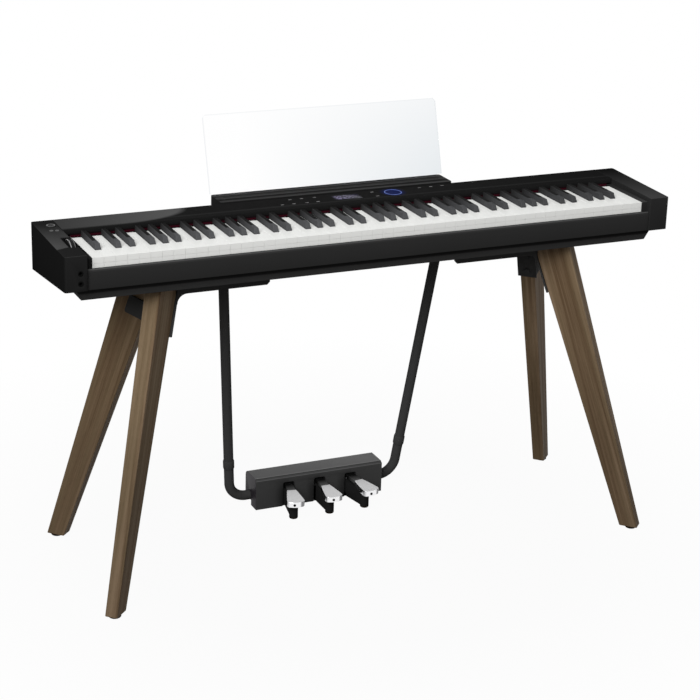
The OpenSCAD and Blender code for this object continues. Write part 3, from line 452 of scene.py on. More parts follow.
def lights_material():
    """Lit marks under a gloss skin: the dial's ring is blue-white, the other marks a soft grey."""
    mat, tree, shader = new_material("panel lights")
    at = place_of(tree)
    uneven = add(tree, "ShaderNodeTexNoise", Vector=at["spot"], Scale=60.0, Detail=1.0).outputs["Fac"]
    near_dial = calc(tree, "LESS_THAN", plan_distance(tree, at, *DIAL), 22 * MM)
    color = between(tree, near_dial, (0.2, 0.2, 0.2), (0.13, 0.2, 0.62))
    level = add(tree, "ShaderNodeVectorMath", operation="SCALE",
                Scale=spread(tree, uneven, 0.35, 0.65, 0.6, 1.3))
    feed(tree, level.inputs[0], color)
    feed(tree, shader.inputs["Emission Color"], level.outputs[0])
    shader.inputs["Emission Strength"].default_value = 1.0
    shader.inputs["Base Color"].default_value = (0.01, 0.01, 0.012, 1)
    shader.inputs["Roughness"].default_value = 0.2
    shader.inputs["Specular IOR Level"].default_value = 0.02
    return mat


DIAL = (113 * MM, 65.5 * MM)              # middle of the touch dial, in plan


def length(tree, u, v):
    """Length of the plane vector (u, v)."""
    return calc(tree, "SQRT", calc(tree, "MULTIPLY_ADD", u, u, calc(tree, "MULTIPLY", v, v)))


def plan_distance(tree, at, x, y):
    """Distance in plan from the point (x, y)."""
    return length(tree, calc(tree, "SUBTRACT", at["x"], x), calc(tree, "SUBTRACT", at["y"], y))


def panel_shade(tree, at):
    """Gloss cover: a paler sheen over its bass end, ended by a quarter ellipse, and one faint line
    along its length."""
    low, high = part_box("top_panel")
    sheen_x, half_long, half_deep = -503 * MM, 151 * MM, 66 * MM
    along = calc(tree, "DIVIDE", calc(tree, "SUBTRACT", at["x"], sheen_x), half_long)
    u = calc(tree, "MAXIMUM", along, 0.0)
    v = calc(tree, "DIVIDE", calc(tree, "SUBTRACT", at["y"], high.y), half_deep)
    r = length(tree, u, v)
    sheen = calc(tree, "MULTIPLY", spread(tree, r, 0.94, 1.06, 1.0, 0.0), spread(tree, at["nz"], 0.5, 0.9))
    level = spread(tree, at["x"], low.x, low.x + 240 * MM, 0.38, 1.0)
    line = calc(tree, "MULTIPLY", band(tree, at["y"], 36 * MM, 42 * MM, 2 * MM), 0.13)
    mask = calc(tree, "MAXIMUM", calc(tree, "MULTIPLY", sheen, level), line)
    return between(tree, mask, grey(0.0125), grey(0.085))


def dial_glow(tree, at):
    """Faint blue light under the gloss cover, inside the dial and fading just outside it."""
    near = spread(tree, plan_distance(tree, at, *DIAL), 12 * MM, 30 * MM, 1.0, 0.0)
    return between(tree, near, grey(0.0), (0.0, 0.005, 0.06))


def left_block_shade(tree, at):
    """Bass end block: its control face is matt grey with a painted sheen that makes it paler to the front,
    and ends at a slanting line. Painted shade darkens its bass side against its front, the gap to the top
    panel and the well around the wheel, and a painted highlight runs along its front top edge."""
    slant, start = 0.36, -91 * MM
    line = calc(tree, "MULTIPLY_ADD", calc(tree, "ADD", at["x"], 660 * MM), slant, start)
    on_face = spread(tree, calc(tree, "SUBTRACT", at["y"], line), -1.5 * MM, 1.5 * MM)
    mask = calc(tree, "MULTIPLY", on_face, spread(tree, at["nz"], 0.8, 0.95))
    # painted sheen: the control face grows paler to the front
    face = between(tree, spread(tree, at["y"], 70 * MM, -75 * MM), grey(0.014), grey(0.066))
    # painted shade: the bass side is darker than the front
    walls = between(tree, spread(tree, at["nx"], -0.9, -0.3), grey(0.0098), grey(0.0155))
    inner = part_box("left_end_block")[0].x + 45 * MM
    # painted shade along the gap to the top panel
    panel_gap_shade = calc(tree, "MULTIPLY", spread(tree, at["x"], inner - 1.8 * MM, inner - 1.2 * MM),
                spread(tree, at["y"], 10 * MM, 20 * MM))
    # painted shade in the well around the wheel
    wheel_well_shade = calc(tree, "MULTIPLY", spread(tree, at["x"], inner - 20 * MM, inner - 18 * MM),
                band(tree, at["y"], -88 * MM, -26 * MM, 4 * MM))
    keep = calc(tree, "SUBTRACT", 1.0, calc(tree, "MAXIMUM", panel_gap_shade, wheel_well_shade))
    upward = spread(tree, at["nz"], 0.5, 0.8)
    # painted highlight along the front top edge
    front_edge_highlight = calc(tree, "MULTIPLY", spread(tree, at["y"], -141 * MM, -142.5 * MM), upward)
    body = between(tree, front_edge_highlight, between(tree, wheel_well_shade, walls, grey(0.006)), grey(0.035))
    return between(tree, calc(tree, "MULTIPLY", mask, keep), body, face)


def right_block_shade(tree, at):
    """Treble end block: a painted sheen makes its top grow paler to the front."""
    mask = spread(tree, at["nz"], 0.8, 0.95)
    # painted sheen: the top grows paler to the front
    face = between(tree, spread(tree, at["y"], 80 * MM, -125 * MM), grey(0.007), grey(0.05))
    return between(tree, mask, grey(0.0235), face)


def ebony_shade(tree, at):
    """Black key: a painted sheen gives it satin grey sides and nose, paler towards the bass, and painted
    shade darkens its bass-facing sides towards the rear. A painted reflection makes its top darker behind
    the first 25 mm of its length.
    """
    # painted reflection: the top goes darker behind its first 25 mm
    behind = spread(tree, at["y"], BLACK_FRONT + 23 * MM, BLACK_FRONT + 26 * MM)
    mask = calc(tree, "MULTIPLY", behind, spread(tree, at["nz"], 0.7, 0.9))
    # painted sheen: satin grey sides and nose, paler towards the bass
    treble = spread(tree, at["x"], 0.0, 0.6)
    satin = between(tree, treble, (0.08, 0.081, 0.085), (0.05, 0.051, 0.053))
    # painted shade on the bass-facing sides towards the rear
    rear_side_shade = calc(tree, "MULTIPLY", spread(tree, at["nx"], -0.5, -0.8),
                spread(tree, at["y"], BLACK_FRONT + 30 * MM, BLACK_REAR))
    wall = between(tree, rear_side_shade, satin, grey(0.02))
    rear = between(tree, spread(tree, at["y"], BLACK_FRONT + 40 * MM, BLACK_REAR), grey(0.012), grey(0.009))
    return between(tree, mask, wall, rear)


def rail_shade(tree, at):
    """Front rail: matt black, with a painted highlight as a pale line where its chamfer meets the keys' fronts."""
    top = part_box("front_rail")[1].z
    chamfer = spread(tree, at["ny"], -0.4, -0.6)
    # painted highlight along the chamfer
    line = calc(tree, "MULTIPLY", spread(tree, at["z"], top - 2.6 * MM, top - 0.4 * MM), chamfer)
    return between(tree, line, grey(0.027), grey(0.085))


def casing_shade(tree, at):
    """Tray and rear wall: matt black, with painted shade that makes it darkest in the groove under the front rail.
    """
    below, above = 654 * MM, 657 * MM
    # painted shade in the groove under the front rail
    groove = calc(tree, "MULTIPLY", spread(tree, at["z"], below, above), spread(tree, at["ny"], -0.3, -0.7))
    return between(tree, groove, grey(0.045), grey(0.016))


def shelf_shade(tree, at):
    """Music rest's shelf: dark sides, and a top with painted highlights as a pale rear edge and a pale band near
    its front, and painted shade as dark lines along its length.
    """
    low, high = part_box("rest_shelf")
    ramp = add(tree, "ShaderNodeValToRGB", Fac=spread(tree, at["y"], high.y, low.y))
    # painted highlights and painted shade along the top, from the rear edge to the front
    levels = ((0.0, 0.12), (0.08, 0.1), (0.13, 0.05), (0.23, 0.045), (0.29, 0.012), (0.36, 0.012),
              (0.41, 0.034), (0.6, 0.032), (0.66, 0.0105), (0.8, 0.0105), (0.86, 0.04), (0.95, 0.038),
              (1.0, 0.02))
    stops = ramp.color_ramp.elements
    for number, (place, level) in enumerate(levels):
        stop = stops[number] if number < 2 else stops.new(place)
        stop.position, stop.color = place, (*grey(level), 1)
    return between(tree, spread(tree, at["nz"], 0.6, 0.9), grey(0.012), ramp.outputs["Color"])


NOTCH_PITCH = 75.6 * MM


def housing_shade(tree, at):
    """Pedal housing: painted light gives each face its own tone, palest on the top; painted highlights make
    two pale lines along the sloping front edge with a painted dark line next to the upper one, and a
    painted soft shadow lies on the bass side of each notch."""
    low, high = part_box("pedal_cover")
    brow, crease = low.y + 7 * MM, high.z - 4.2 * MM
    sloping = spread(tree, at["nz"], 0.3, 0.5)
    # painted highlights along the sloping edge, with a painted dark line next to the upper one
    upper = calc(tree, "MULTIPLY", band(tree, at["y"], brow - 0.8 * MM, brow + 0.9 * MM, 0.4 * MM), sloping)
    dark = calc(tree, "MULTIPLY", band(tree, at["y"], brow - 2.6 * MM, brow - 1.0 * MM, 0.4 * MM), sloping)
    lower = calc(tree, "MULTIPLY", band(tree, at["z"], crease - 0.9 * MM, crease + 0.5 * MM, 0.4 * MM),
                 spread(tree, at["ny"], -0.3, -0.5))
    # painted shadow on the bass side of each notch
    shadow = 0.0
    for notch in (-NOTCH_PITCH, 0.0, NOTCH_PITCH):
        side = calc(tree, "MULTIPLY", spread(tree, at["x"], notch - 34 * MM, notch - 13 * MM),
                    calc(tree, "LESS_THAN", at["x"], notch))
        shadow = calc(tree, "MAXIMUM", shadow, side)
    shadow = calc(tree, "MULTIPLY", shadow, spread(tree, at["z"], 72 * MM, 45 * MM, 0.0, 0.7))
    front = between(tree, shadow, grey(0.044), grey(0.006))
    # painted light: each face takes its own tone
    walls = between(tree, spread(tree, at["nx"], -0.8, -0.95), front, (0.022, 0.019, 0.023))
    slope = between(tree, spread(tree, at["nz"], 0.3, 0.6), walls, grey(0.055))
    body = between(tree, spread(tree, at["nz"], 0.93, 0.99), slope, grey(0.095))
    lined = between(tree, lower, between(tree, dark, body, grey(0.028)), grey(0.1))
    return between(tree, upper, lined, grey(0.17))


def rim_shade(tree, base):
    """Bright rim of a pedal: painted reflections make it grey towards both ends of its front, as a bright round
    edge looks.
    """
    across = add(tree, "ShaderNodeAttribute", attribute_name="across").outputs["Fac"]
    # painted reflection: grey bands towards both ends of the rim
    treble = calc(tree, "MULTIPLY", spread(tree, across, 0.42, 0.6),
                  spread(tree, across, 0.97, 0.85, 0.35, 1.0))
    dark = calc(tree, "MAXIMUM", treble, spread(tree, across, -0.8, -0.95, 0.0, 0.6))
    return between(tree, dark, base, (0.22, 0.22, 0.225))


def neck_shade(tree, at):
    """Lever of a pedal: painted shade makes it black in the housing's notch, and painted light makes it paler
    towards its bright head.
    """
    # painted shade in the notch and painted light towards the head
    return between(tree, spread(tree, at["y"], 152 * MM, 131 * MM), grey(0.006), grey(0.07))


def knob_shade(tree, at):
    """Knob: a painted highlight as a pale ring around a dark middle."""
    low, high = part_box("volume_knob")
    r = plan_distance(tree, at, (low.x + high.x) / 2, (low.y + high.y) / 2)
    # painted highlight on the upward ring
    ring = calc(tree, "MULTIPLY", band(tree, r, 6.6 * MM, 8.4 * MM, 0.5 * MM),
                spread(tree, at["nz"], 0.4, 0.8))
    return between(tree, ring, grey(0.025), grey(0.19))


def wheel_shade(tree, at):
    """Bend wheel: dark rubber with painted highlights on its rims."""
    low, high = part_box("bend_wheel")
    off = calc(tree, "ABSOLUTE", calc(tree, "SUBTRACT", at["x"], (low.x + high.x) / 2))
    # painted highlights on the rims
    rim = calc(tree, "MULTIPLY", spread(tree, off, 3.2 * MM, 3.7 * MM),
               spread(tree, calc(tree, "ABSOLUTE", at["nx"]), 0.95, 0.85))
    return between(tree, rim, grey(0.012), grey(0.26))


BLACK_FRONT, BLACK_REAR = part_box("key_c_sharp4")[0].y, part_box("felt_strip")[0].y - 1 * MM
MATT, SATIN_BLACK = 0.001, 0.02          # specular level of the black finishes
CASING = plastic("fine matt casing", None, 0.5, MATT, shade=casing_shade)
FASCIA = plastic("front rail black", None, 0.5, MATT, shade=rail_shade)
LEFT_BLOCK = plastic("bass block black", None, 0.45, 0.0, shade=left_block_shade)
RIGHT_BLOCK = plastic("treble block black", None, 0.45, 0.0, shade=right_block_shade)
GLOSS = plastic("gloss black", None, 0.12, 0.0, grain=250.0, bump=0.002, gloss_drift=0.04,
                shade=panel_shade, glow=dial_glow)
SHELF = plastic("shelf black", None, 0.35, MATT, shade=shelf_shade)
STEEL_COAT = plastic("powder coat", grey(0.046), 0.42, MATT, grain=1400.0, bump=0.04)
TUBE_COAT = plastic("tube coat", grey(0.05), 0.4, MATT, grain=1400.0, bump=0.04)
NECK = plastic("neck coat", None, 0.4, 0.0, grain=1400.0, bump=0.04, shade=neck_shade)
ARM_BLACK = plastic("arm black", grey(0.015), 0.5, MATT, grain=1200.0, bump=0.04)
RUBBER = plastic("dark rubber", (0.014, 0.01, 0.007), 0.75, MATT, grain=600.0, bump=0.05)
CONTROL = plastic("grey control", grey(0.09), 0.4, SATIN_BLACK)
JACK = plastic("jack black", grey(0.006), 0.4, MATT)
KNOB = plastic("knob", None, 0.4, SATIN_BLACK, shade=knob_shade)
WHEEL = plastic("wheel rubber", None, 0.5, SATIN_BLACK, shade=wheel_shade)
HOUSING = plastic("pedal housing", None, 0.4, 0.055, shade=housing_shade)
IVORY = plastic("key white", (0.83, 0.835, 0.815), 0.34, 0.1, grain=420.0, bump=0.01, drift=0.03)
EBONY = plastic("key black", None, 0.36, MATT, grain=700.0, bump=0.02, shade=ebony_shade)
BOARD = plastic("circuit board", (0.02, 0.12, 0.05), 0.45, 0.3, grain=150.0, bump=0.05)
SPEAKER = plastic("speaker grey", (0.05, 0.05, 0.055), 0.5, 0.1)
PLAIN_STEEL = metal("plain steel", (0.5, 0.51, 0.53), 0.35)
SATIN = metal("satin chrome", (0.58, 0.58, 0.585), 0.32, stretch=(700.0, 60.0, 700.0), gloss_drift=0.12,
              speckle=0.12)
RIM = metal("bright rim", (0.9, 0.9, 0.91), 0.08, stretch=(300.0, 300.0, 60.0), gloss_drift=0.06,
            shade=rim_shade)
WALNUT = walnut_material()
FELT = felt_material()
ACRYLIC = acrylic_material()
DISPLAY = display_material()
LIGHTS = lights_material()


# ------------------------------------------------------------------ plain dressed parts

# Each part with its finish and the width of its soft edges in millimetres
for node_name, finish, edge in (
    ("bottom_tray", CASING, 0.8), ("front_rail", FASCIA, 0.5), ("left_end_block", LEFT_BLOCK, 0.9),
    ("right_end_block", RIGHT_BLOCK, 0.9), ("top_panel", GLOSS, 0.4), ("rear_panel", CASING, 0.4),
    ("key_frame", PLAIN_STEEL, 0.3), ("key_sensor_board", BOARD, 0.2), ("main_board", BOARD, 0.2),
    ("speakers", SPEAKER, 0.3), ("display_glass", DISPLAY, 0.1), ("panel_lights", LIGHTS, 0.1),
    ("power_button", CONTROL, 0.3), ("function_button", CONTROL, 0.3), ("phone_jacks", JACK, 0.3),
    ("rest_shelf", SHELF, 0.8), ("music_panel", ACRYLIC, 0.3), ("floor_glides", RUBBER, 0.4),
    ("bracket_left", STEEL_COAT, 0.5), ("bracket_right", STEEL_COAT, 0.5), ("leg_bolts", STEEL_COAT, 0.4),
    ("body_screws", STEEL_COAT, 0.4), ("tube_collars", TUBE_COAT, 0.4), ("tube_clamps", STEEL_COAT, 0.4),
    ("tube_left", TUBE_COAT, 0), ("tube_right", TUBE_COAT, 0), ("volume_knob", KNOB, 0.25),
    ("bend_wheel", WHEEL, 0.3), ("pedal_cover", HOUSING, 1.6), ("pedal_base", ARM_BLACK, 0.8),
    ("pedal_feet", RUBBER, 0.2), ("pedal_pins", PLAIN_STEEL, 0.3), ("balance_rod", PLAIN_STEEL, 0.2),
    ("felt_strip", FELT, 0.6), ("soft_spring", PLAIN_STEEL, 0), ("sostenuto_spring", PLAIN_STEEL, 0),
    ("damper_spring", PLAIN_STEEL, 0),
):
    dressed(node_name, finish, edge, segments=3 if edge > 0.7 else 2)

for pedal in ("soft", "sostenuto", "damper"):
    foot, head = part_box(pedal + "_spring")
    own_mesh(bpy.data.objects[pedal + "_spring_dressed"])


# ------------------------------------------------------------------ keys

KEY_PARTS = {
    "c4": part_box("key_c4"), "d4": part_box("key_d4"), "cs4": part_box("key_c_sharp4"),
}
PITCH = KEY_PARTS["d4"][0].x - KEY_PARTS["c4"][0].x
KEY_GAP = PITCH - (KEY_PARTS["c4"][1].x - KEY_PARTS["c4"][0].x)
MIDDLE_C = 23
WHITE_COUNT = 52
KEY_ZERO = KEY_PARTS["c4"][0].x - KEY_GAP / 2 - MIDDLE_C * PITCH
FRONT, TAIL = KEY_PARTS["c4"][0].y, KEY_PARTS["c4"][1].y
WHITE_TOP = KEY_PARTS["c4"][1].z
PIVOT_Z = KEY_PARTS["cs4"][0].z
BLACK_TOP = KEY_PARTS["cs4"][1].z
BLACK_W = KEY_PARTS["cs4"][1].x - KEY_PARTS["cs4"][0].x
WHITE_REAR = FRONT + 136 * MM
SEAM = 0.3 * MM                           # gap between two white keys
PIVOT_Y = (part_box("balance_rod")[0].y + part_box("balance_rod")[1].y) / 2
LETTER_NODES = {0: "key_c_sharp4", 1: "key_d_sharp4", 3: "key_f_sharp4", 4: "key_g_sharp4",
                5: "key_a_sharp4"}
BLACK_AT = {}
for letter, key_node in LETTER_NODES.items():
    lo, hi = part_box(key_node)
    BLACK_AT[letter] = (lo.x + hi.x) / 2 - (KEY_ZERO + (MIDDLE_C + letter + 1) * PITCH)


def letter_of(i):
    """Letter of white key i, from 0 for C to 6 for B; the first key is an A."""
    return (i + 5) % 7


def black_right_of(i):
    """Centre of the black key on the right of white key i, or None."""
    if 0 <= i < WHITE_COUNT - 1 and letter_of(i) in BLACK_AT:
        return KEY_ZERO + (i + 1) * PITCH + BLACK_AT[letter_of(i)]
    return None


def soft_outline(corners, radius, inset):
    """Outline with straight sides along X and Y, moved inwards by each inset and with round corners.

    A corner at p between directions a and b becomes an arc about p - r a + r b; r shrinks by the inset
    on an outer corner and grows by it on an inner one. Returns (insets, points, 2)."""
    p = np.asarray(corners, float)
    a = p - np.roll(p, 1, axis=0)
    a /= np.linalg.norm(a, axis=1, keepdims=True)
    b = np.roll(a, -1, axis=0)
    turn = a[:, 0] * b[:, 1] - a[:, 1] * b[:, 0]
    inwards = np.stack([-(a + b)[:, 1], (a + b)[:, 0]], axis=1)
    d = np.asarray(inset, float)[:, None, None, None]
    r = np.maximum(radius - d * turn[None, :, None, None], 0.05 * MM)
    t = np.linspace(0, math.pi / 2, 5)[None, None, :, None]
    centre = p[None, :, None] + d * inwards[None, :, None] - r * a[None, :, None] + r * b[None, :, None]
    arc = centre - r * b[None, :, None] * np.cos(t) + r * a[None, :, None] * np.sin(t)
    return arc.reshape(len(inset), -1, 2)


def rounded_block(corners, low, high, radius=0.9 * MM, top=0.8 * MM):
    """Upright block over an outline, with a small slope at its foot and quarter-round upper edges: at
    angle t its side has moved in by r (1 - cos t) and up by r sin t. The last ring lies flat, so the
    top is lit flat."""
    foot, steps = 0.3 * MM, 4
    t = np.linspace(0, math.pi / 2, steps + 1)
    inset = np.concatenate([[foot], np.zeros(steps), top * (1 - np.cos(t)), [top + 0.3 * MM]])
    height = np.concatenate([[low], np.linspace(low + foot, high - top, steps),
                             high - top + top * np.sin(t), [high]])
    ring = soft_outline(corners, radius, inset)
    z = np.broadcast_to(height[:, None, None], ring.shape[:2] + (1,))
    return ring_stack(np.concatenate([ring, z], axis=2))


def side_prism(profile, x0, x1):
    """Prism over a profile in Y and Z, running from x0 to x1."""
    p = np.asarray(profile, float)
    ring = np.stack([np.concatenate([np.full((len(p), 1), x), p], axis=1) for x in (x0, x1)])
    return ring_stack(ring)


def lever(x0, x1, front, top):
    """Lever of a key: a bar with a half-round groove over the balance rod."""
    t = np.linspace(0, math.pi, 9)
    groove = 2.3 * MM
    arch = np.stack([PIVOT_Y + groove * np.cos(t), PIVOT_Z + groove * np.sin(t)], axis=1)
    profile = np.concatenate([[[TAIL, PIVOT_Z], [TAIL, top], [front, top], [front, PIVOT_Z]], arch[::-1]])
    return side_prism(profile, x0, x1)


def white_key(i):
    """Top plate, front apron and lever of white key i."""
    x0 = KEY_ZERO + i * PITCH + SEAM / 2
    x1 = KEY_ZERO + (i + 1) * PITCH - SEAM / 2
    cut = BLACK_W / 2 + 0.95 * MM
    left, right = black_right_of(i - 1), black_right_of(i)
    xl = x0 if left is None else left + cut
    xr = x1 if right is None else right - cut
    notch, rear = BLACK_FRONT - 2 * MM, WHITE_REAR
    corners = [(x0, FRONT), (x1, FRONT)]
    corners += [(x1, rear)] if right is None else [(x1, notch), (xr, notch), (xr, rear)]
    corners += [(x0, rear)] if left is None else [(xl, rear), (xl, notch), (x0, notch)]
    top = rounded_block(corners, WHITE_TOP - 12 * MM, WHITE_TOP, radius=0.5 * MM, top=0.5 * MM)
    apron = [(x0, FRONT + 0.5 * MM), (x1, FRONT + 0.5 * MM), (x1, FRONT + 3 * MM), (x0, FRONT + 3 * MM)]
    front = rounded_block(apron, WHITE_TOP - 21.5 * MM, WHITE_TOP - 3 * MM, radius=0.2 * MM)
    return many([top, front, lever(xl, xr, FRONT + 45 * MM, WHITE_TOP - 3.7 * MM)])


def black_key(i):
    """Cap and lever of the black key on the right of white key i.

    Ring k of the cap is a round-cornered rectangle whose half width goes from foot to top width and
    whose front moves back with height; over the last millimetre it moves in along a quarter circle."""
    x = black_right_of(i)
    t = np.linspace(0, math.pi / 2, 6)
    soft = 1.1 * MM
    foot, brow = WHITE_TOP - 9 * MM, BLACK_TOP - soft
    h = np.concatenate([[foot, foot + 0.3 * MM], np.linspace(WHITE_TOP, brow, 5),
                        (brow + soft * np.sin(t))[1:], [BLACK_TOP]])
    inset = np.concatenate([[0.3 * MM], np.zeros(6), (soft * (1 - np.cos(t)))[1:], [soft + 0.3 * MM]])
    rise = np.clip((h - WHITE_TOP) / (BLACK_TOP - WHITE_TOP), 0, 1)
    half = BLACK_W / 2 - 1.2 * MM * rise
    front = BLACK_FRONT + 5.5 * MM * rise
    rings = [
        soft_outline([(x - w, f), (x + w, f), (x + w, BLACK_REAR), (x - w, BLACK_REAR)], 1.3 * MM, [d])[0]
        for w, f, d in zip(half, front, inset)
    ]
    z = np.broadcast_to(h[:, None, None], (len(h), rings[0].shape[0], 1))
    cap = ring_stack(np.concatenate([np.stack(rings), z], axis=2))
    bar = lever(x - BLACK_W / 2, x + BLACK_W / 2, BLACK_FRONT + 4 * MM, WHITE_TOP - 6.7 * MM)
    return many([cap, bar])


def keys_of(first, last, black):
    """Shapes of the white or black keys from first to last."""
    chosen = [i for i in range(first, last + 1) if not black or black_right_of(i) is not None]
    return many([black_key(i) if black else white_key(i) for i in chosen])


for node_name, first, last in (("bass", 0, MIDDLE_C - 1), ("treble", MIDDLE_C + 7, WHITE_COUNT - 1)):
    piece("white_keys_" + node_name + "_finished", keys_of(first, last, False), "keys_" + node_name, IVORY,
          nodes=["white_keys_" + node_name])
    piece("black_keys_" + node_name + "_finished", keys_of(first, last, True), "keys_" + node_name, EBONY,
          nodes=["black_keys_" + node_name])
for step, key_node in enumerate(["key_c4", "key_d4", "key_e4", "key_f4", "key_g4", "key_a4", "key_b4"]):
    piece(key_node + "_finished", white_key(MIDDLE_C + step), key_node, IVORY, nodes=[key_node])
for step, key_node in LETTER_NODES.items():
    piece(key_node + "_finished", black_key(MIDDLE_C + step), key_node, EBONY, nodes=[key_node])


# ------------------------------------------------------------------ legs


def leg_frame(node):
    """A leg read from its part: (outward direction, across direction, its middle across, sections).

    Each section is (height, inner edge, outer edge, half thickness) along the leg's own diagonal."""
    co = np.array([v.co for v in NODES[node].data.vertices], float)
    side = np.array([math.copysign(1, co[:, 0].mean()), math.copysign(1, co[:, 1].mean())])
    out = side / math.sqrt(2)
    across = np.array([-out[1], out[0]])
    rel = co[:, :2]
    u, v, z = rel @ out, rel @ across, co[:, 2]
    mid = (v.max() + v.min()) / 2
    sections = []
    for height in (z.min(), z.max()):
        near = np.abs(z - height) < (4.5 * MM if height == z.min() else 0.1 * MM)
        sections.append((height, u[near].min(), u[near].max(), np.abs(v[near] - mid).max()))
    return out, across, mid, sections


def leg_shape(node):
    """Leg as a stack of level round-cornered rectangles between its foot and top sections, which
    shrink along quarter circles at both ends. Also returns each point's place along the grain."""
    out, across, mid, ((z0, a0, b0, t0), (z1, a1, b1, t1)) = leg_frame(node)
    soft = 2.0 * MM
    t = np.linspace(0, math.pi / 2, 5)
    h = np.concatenate([z0 + soft * (1 - np.cos(t)), np.linspace(z0 + 12 * MM, z1 - 3 * MM, 24),
                        [z1 - 0.8 * MM, z1]])
    inset = np.concatenate([soft * (1 - np.sin(t)), np.zeros(24), [0, 0.8 * MM]])
    k = (h - z0) / (z1 - z0)
    lo, hi, th = a0 + (a1 - a0) * k, b0 + (b1 - b0) * k, t0 + (t1 - t0) * k
    rings = np.stack([
        soft_outline([(p, -w), (q, -w), (q, w), (p, w)], 1.8 * MM, [d])[0]
        for p, q, w, d in zip(lo, hi, th, inset)
    ])
    u, v = rings[..., 0], rings[..., 1]
    z = np.broadcast_to(h[:, None], u.shape)
    points = np.stack([u * out[0] + (v + mid) * across[0], u * out[1] + (v + mid) * across[1], z], axis=2)
    if across[0] * out[1] - across[1] * out[0] > 0:
        points = points[:, ::-1]
    middle = (lo + hi)[:, None] / 2
    grain = np.stack([u - middle, v, np.broadcast_to(h[:, None], u.shape) * 1.05], axis=2)
    return ring_stack(points), grain.reshape(-1, 3)


legs = ["leg_front_left", "leg_front_right", "leg_rear_left", "leg_rear_right"]
for number, node_name in enumerate(legs):
    shape, grain = leg_shape(node_name)
    leg = piece(node_name + "_finished", shape, "stand", WALNUT, nodes=[node_name])
    grain = grain + np.array([0.37, 0.19, 1.3]) * number
    leg.data.attributes.new("along_grain", "FLOAT_VECTOR", "POINT").data.foreach_set(
        "vector", grain.astype(np.float32).ravel())


# ------------------------------------------------------------------ pedals


def pedal_axes(node):
    """Pivot and hinge axis of a pedal, from its joint."""
    joint = [j for j in frame["joints"] if j["name"] == node + "_press"][0]
    axis = Vector(joint["axis"]).normalized()
    return Vector(joint["pos_m"]), axis


def smooth_inset(outline, d):
    """Closed outline moved inwards by d along the mean of its two edge normals."""
    e = np.roll(outline, -1, axis=0) - outline
    e /= np.linalg.norm(e, axis=1, keepdims=True)
    n = np.stack([-e[:, 1], e[:, 0]], axis=1)
    m = n + np.roll(n, 1, axis=0)
    m /= np.maximum((m * m).sum(axis=1, keepdims=True) / 2, 0.4)
    return outline + d * m


TIP, HEAD_BACK, HEAD_TOP, HEAD_DEEP = 124.5 * MM, 64.5 * MM, 4 * MM, 13 * MM
HEAD_NEAR, HEAD_FAR, HEAD_CORNER, TIP_R, SKIN_T = 10.5 * MM, 19.7 * MM, 6.5 * MM, 34 * MM, 2.5 * MM
REAR_RIM = HEAD_TOP - 8 * MM              # the rim's height where it is cut higher


def head_outline():
    """Plan of a pedal head, anticlockwise from the middle of its tip.

    Front: an arc of radius R about (0, R - tip). Corner: from the arc's end at half width f it goes on
    as (f + c sin a, 1.15 c (1 - cos a)) behind it. Side: from half width F at the corner to half width
    N at the neck as N + (F - N) t (1.18 - 0.18 t), with t running from 1 to 0 towards the rear."""
    flat = HEAD_FAR - HEAD_CORNER
    sag = TIP_R - math.sqrt(TIP_R**2 - flat**2)
    x = flat * np.linspace(0, 1, 9)
    front = np.stack([x, TIP_R - TIP - np.sqrt(TIP_R**2 - x**2)], axis=1)
    a = np.radians(np.arange(11.25, 80, 11.25))
    corner = np.stack([flat + HEAD_CORNER * np.sin(a),
                       sag - TIP + 1.15 * HEAD_CORNER * (1 - np.cos(a))], axis=1)
    t = np.linspace(1, 0, 12)
    end = TIP - HEAD_CORNER - 5 * MM
    side = np.stack([HEAD_NEAR + (HEAD_FAR - HEAD_NEAR) * t * (1.18 - 0.18 * t),
                     -HEAD_BACK - (end - HEAD_BACK) * t], axis=1)
    half = np.concatenate([front, corner, side])
    mirrored = half[:0:-1] * (-1, 1)
    return np.concatenate([half, mirrored])


def pedal_head():
    """Hollow head: rings start inside under the top, go down the inner wall and round the rim, rise up the
    outer wall and close over a flat top with a crisp quarter-round edge. The rear of the rim is cut
    higher."""
    plan = head_outline()
    low = HEAD_TOP - HEAD_DEEP
    behind = np.clip((-plan[:, 1] - HEAD_BACK) / (14 * MM), 0, 1)
    rim = REAR_RIM + (low - REAR_RIM) * behind
    edge = 0.7 * MM
    ceiling = HEAD_TOP - SKIN_T
    level = np.ones(len(plan))
    rows = [(SKIN_T, ceiling * level), (SKIN_T, rim + 0.3 * MM), (SKIN_T - 0.4 * MM, rim), (0.5 * MM, rim),
            (0, rim + 0.5 * MM)]
    for angle in np.linspace(0, math.pi / 2, 5):
        rows.append((edge * (1 - math.cos(angle)), (HEAD_TOP - edge + edge * math.sin(angle)) * level))
    rows.append((edge + 0.5 * MM, HEAD_TOP * level))
    return ring_stack(np.stack([np.column_stack([smooth_inset(plan, d), z]) for d, z in rows]))


def pedal_neck():
    """Bar from behind the pivot to the head, with soft upper edges."""
    w, back, front = 9.3 * MM, 12 * MM, -HEAD_BACK - 2 * MM
    plan = [(-w, front), (w, front), (w, back), (-w, back)]
    return rounded_block(plan, -4 * MM, 4 * MM - 0.05 * MM, top=1.2 * MM)


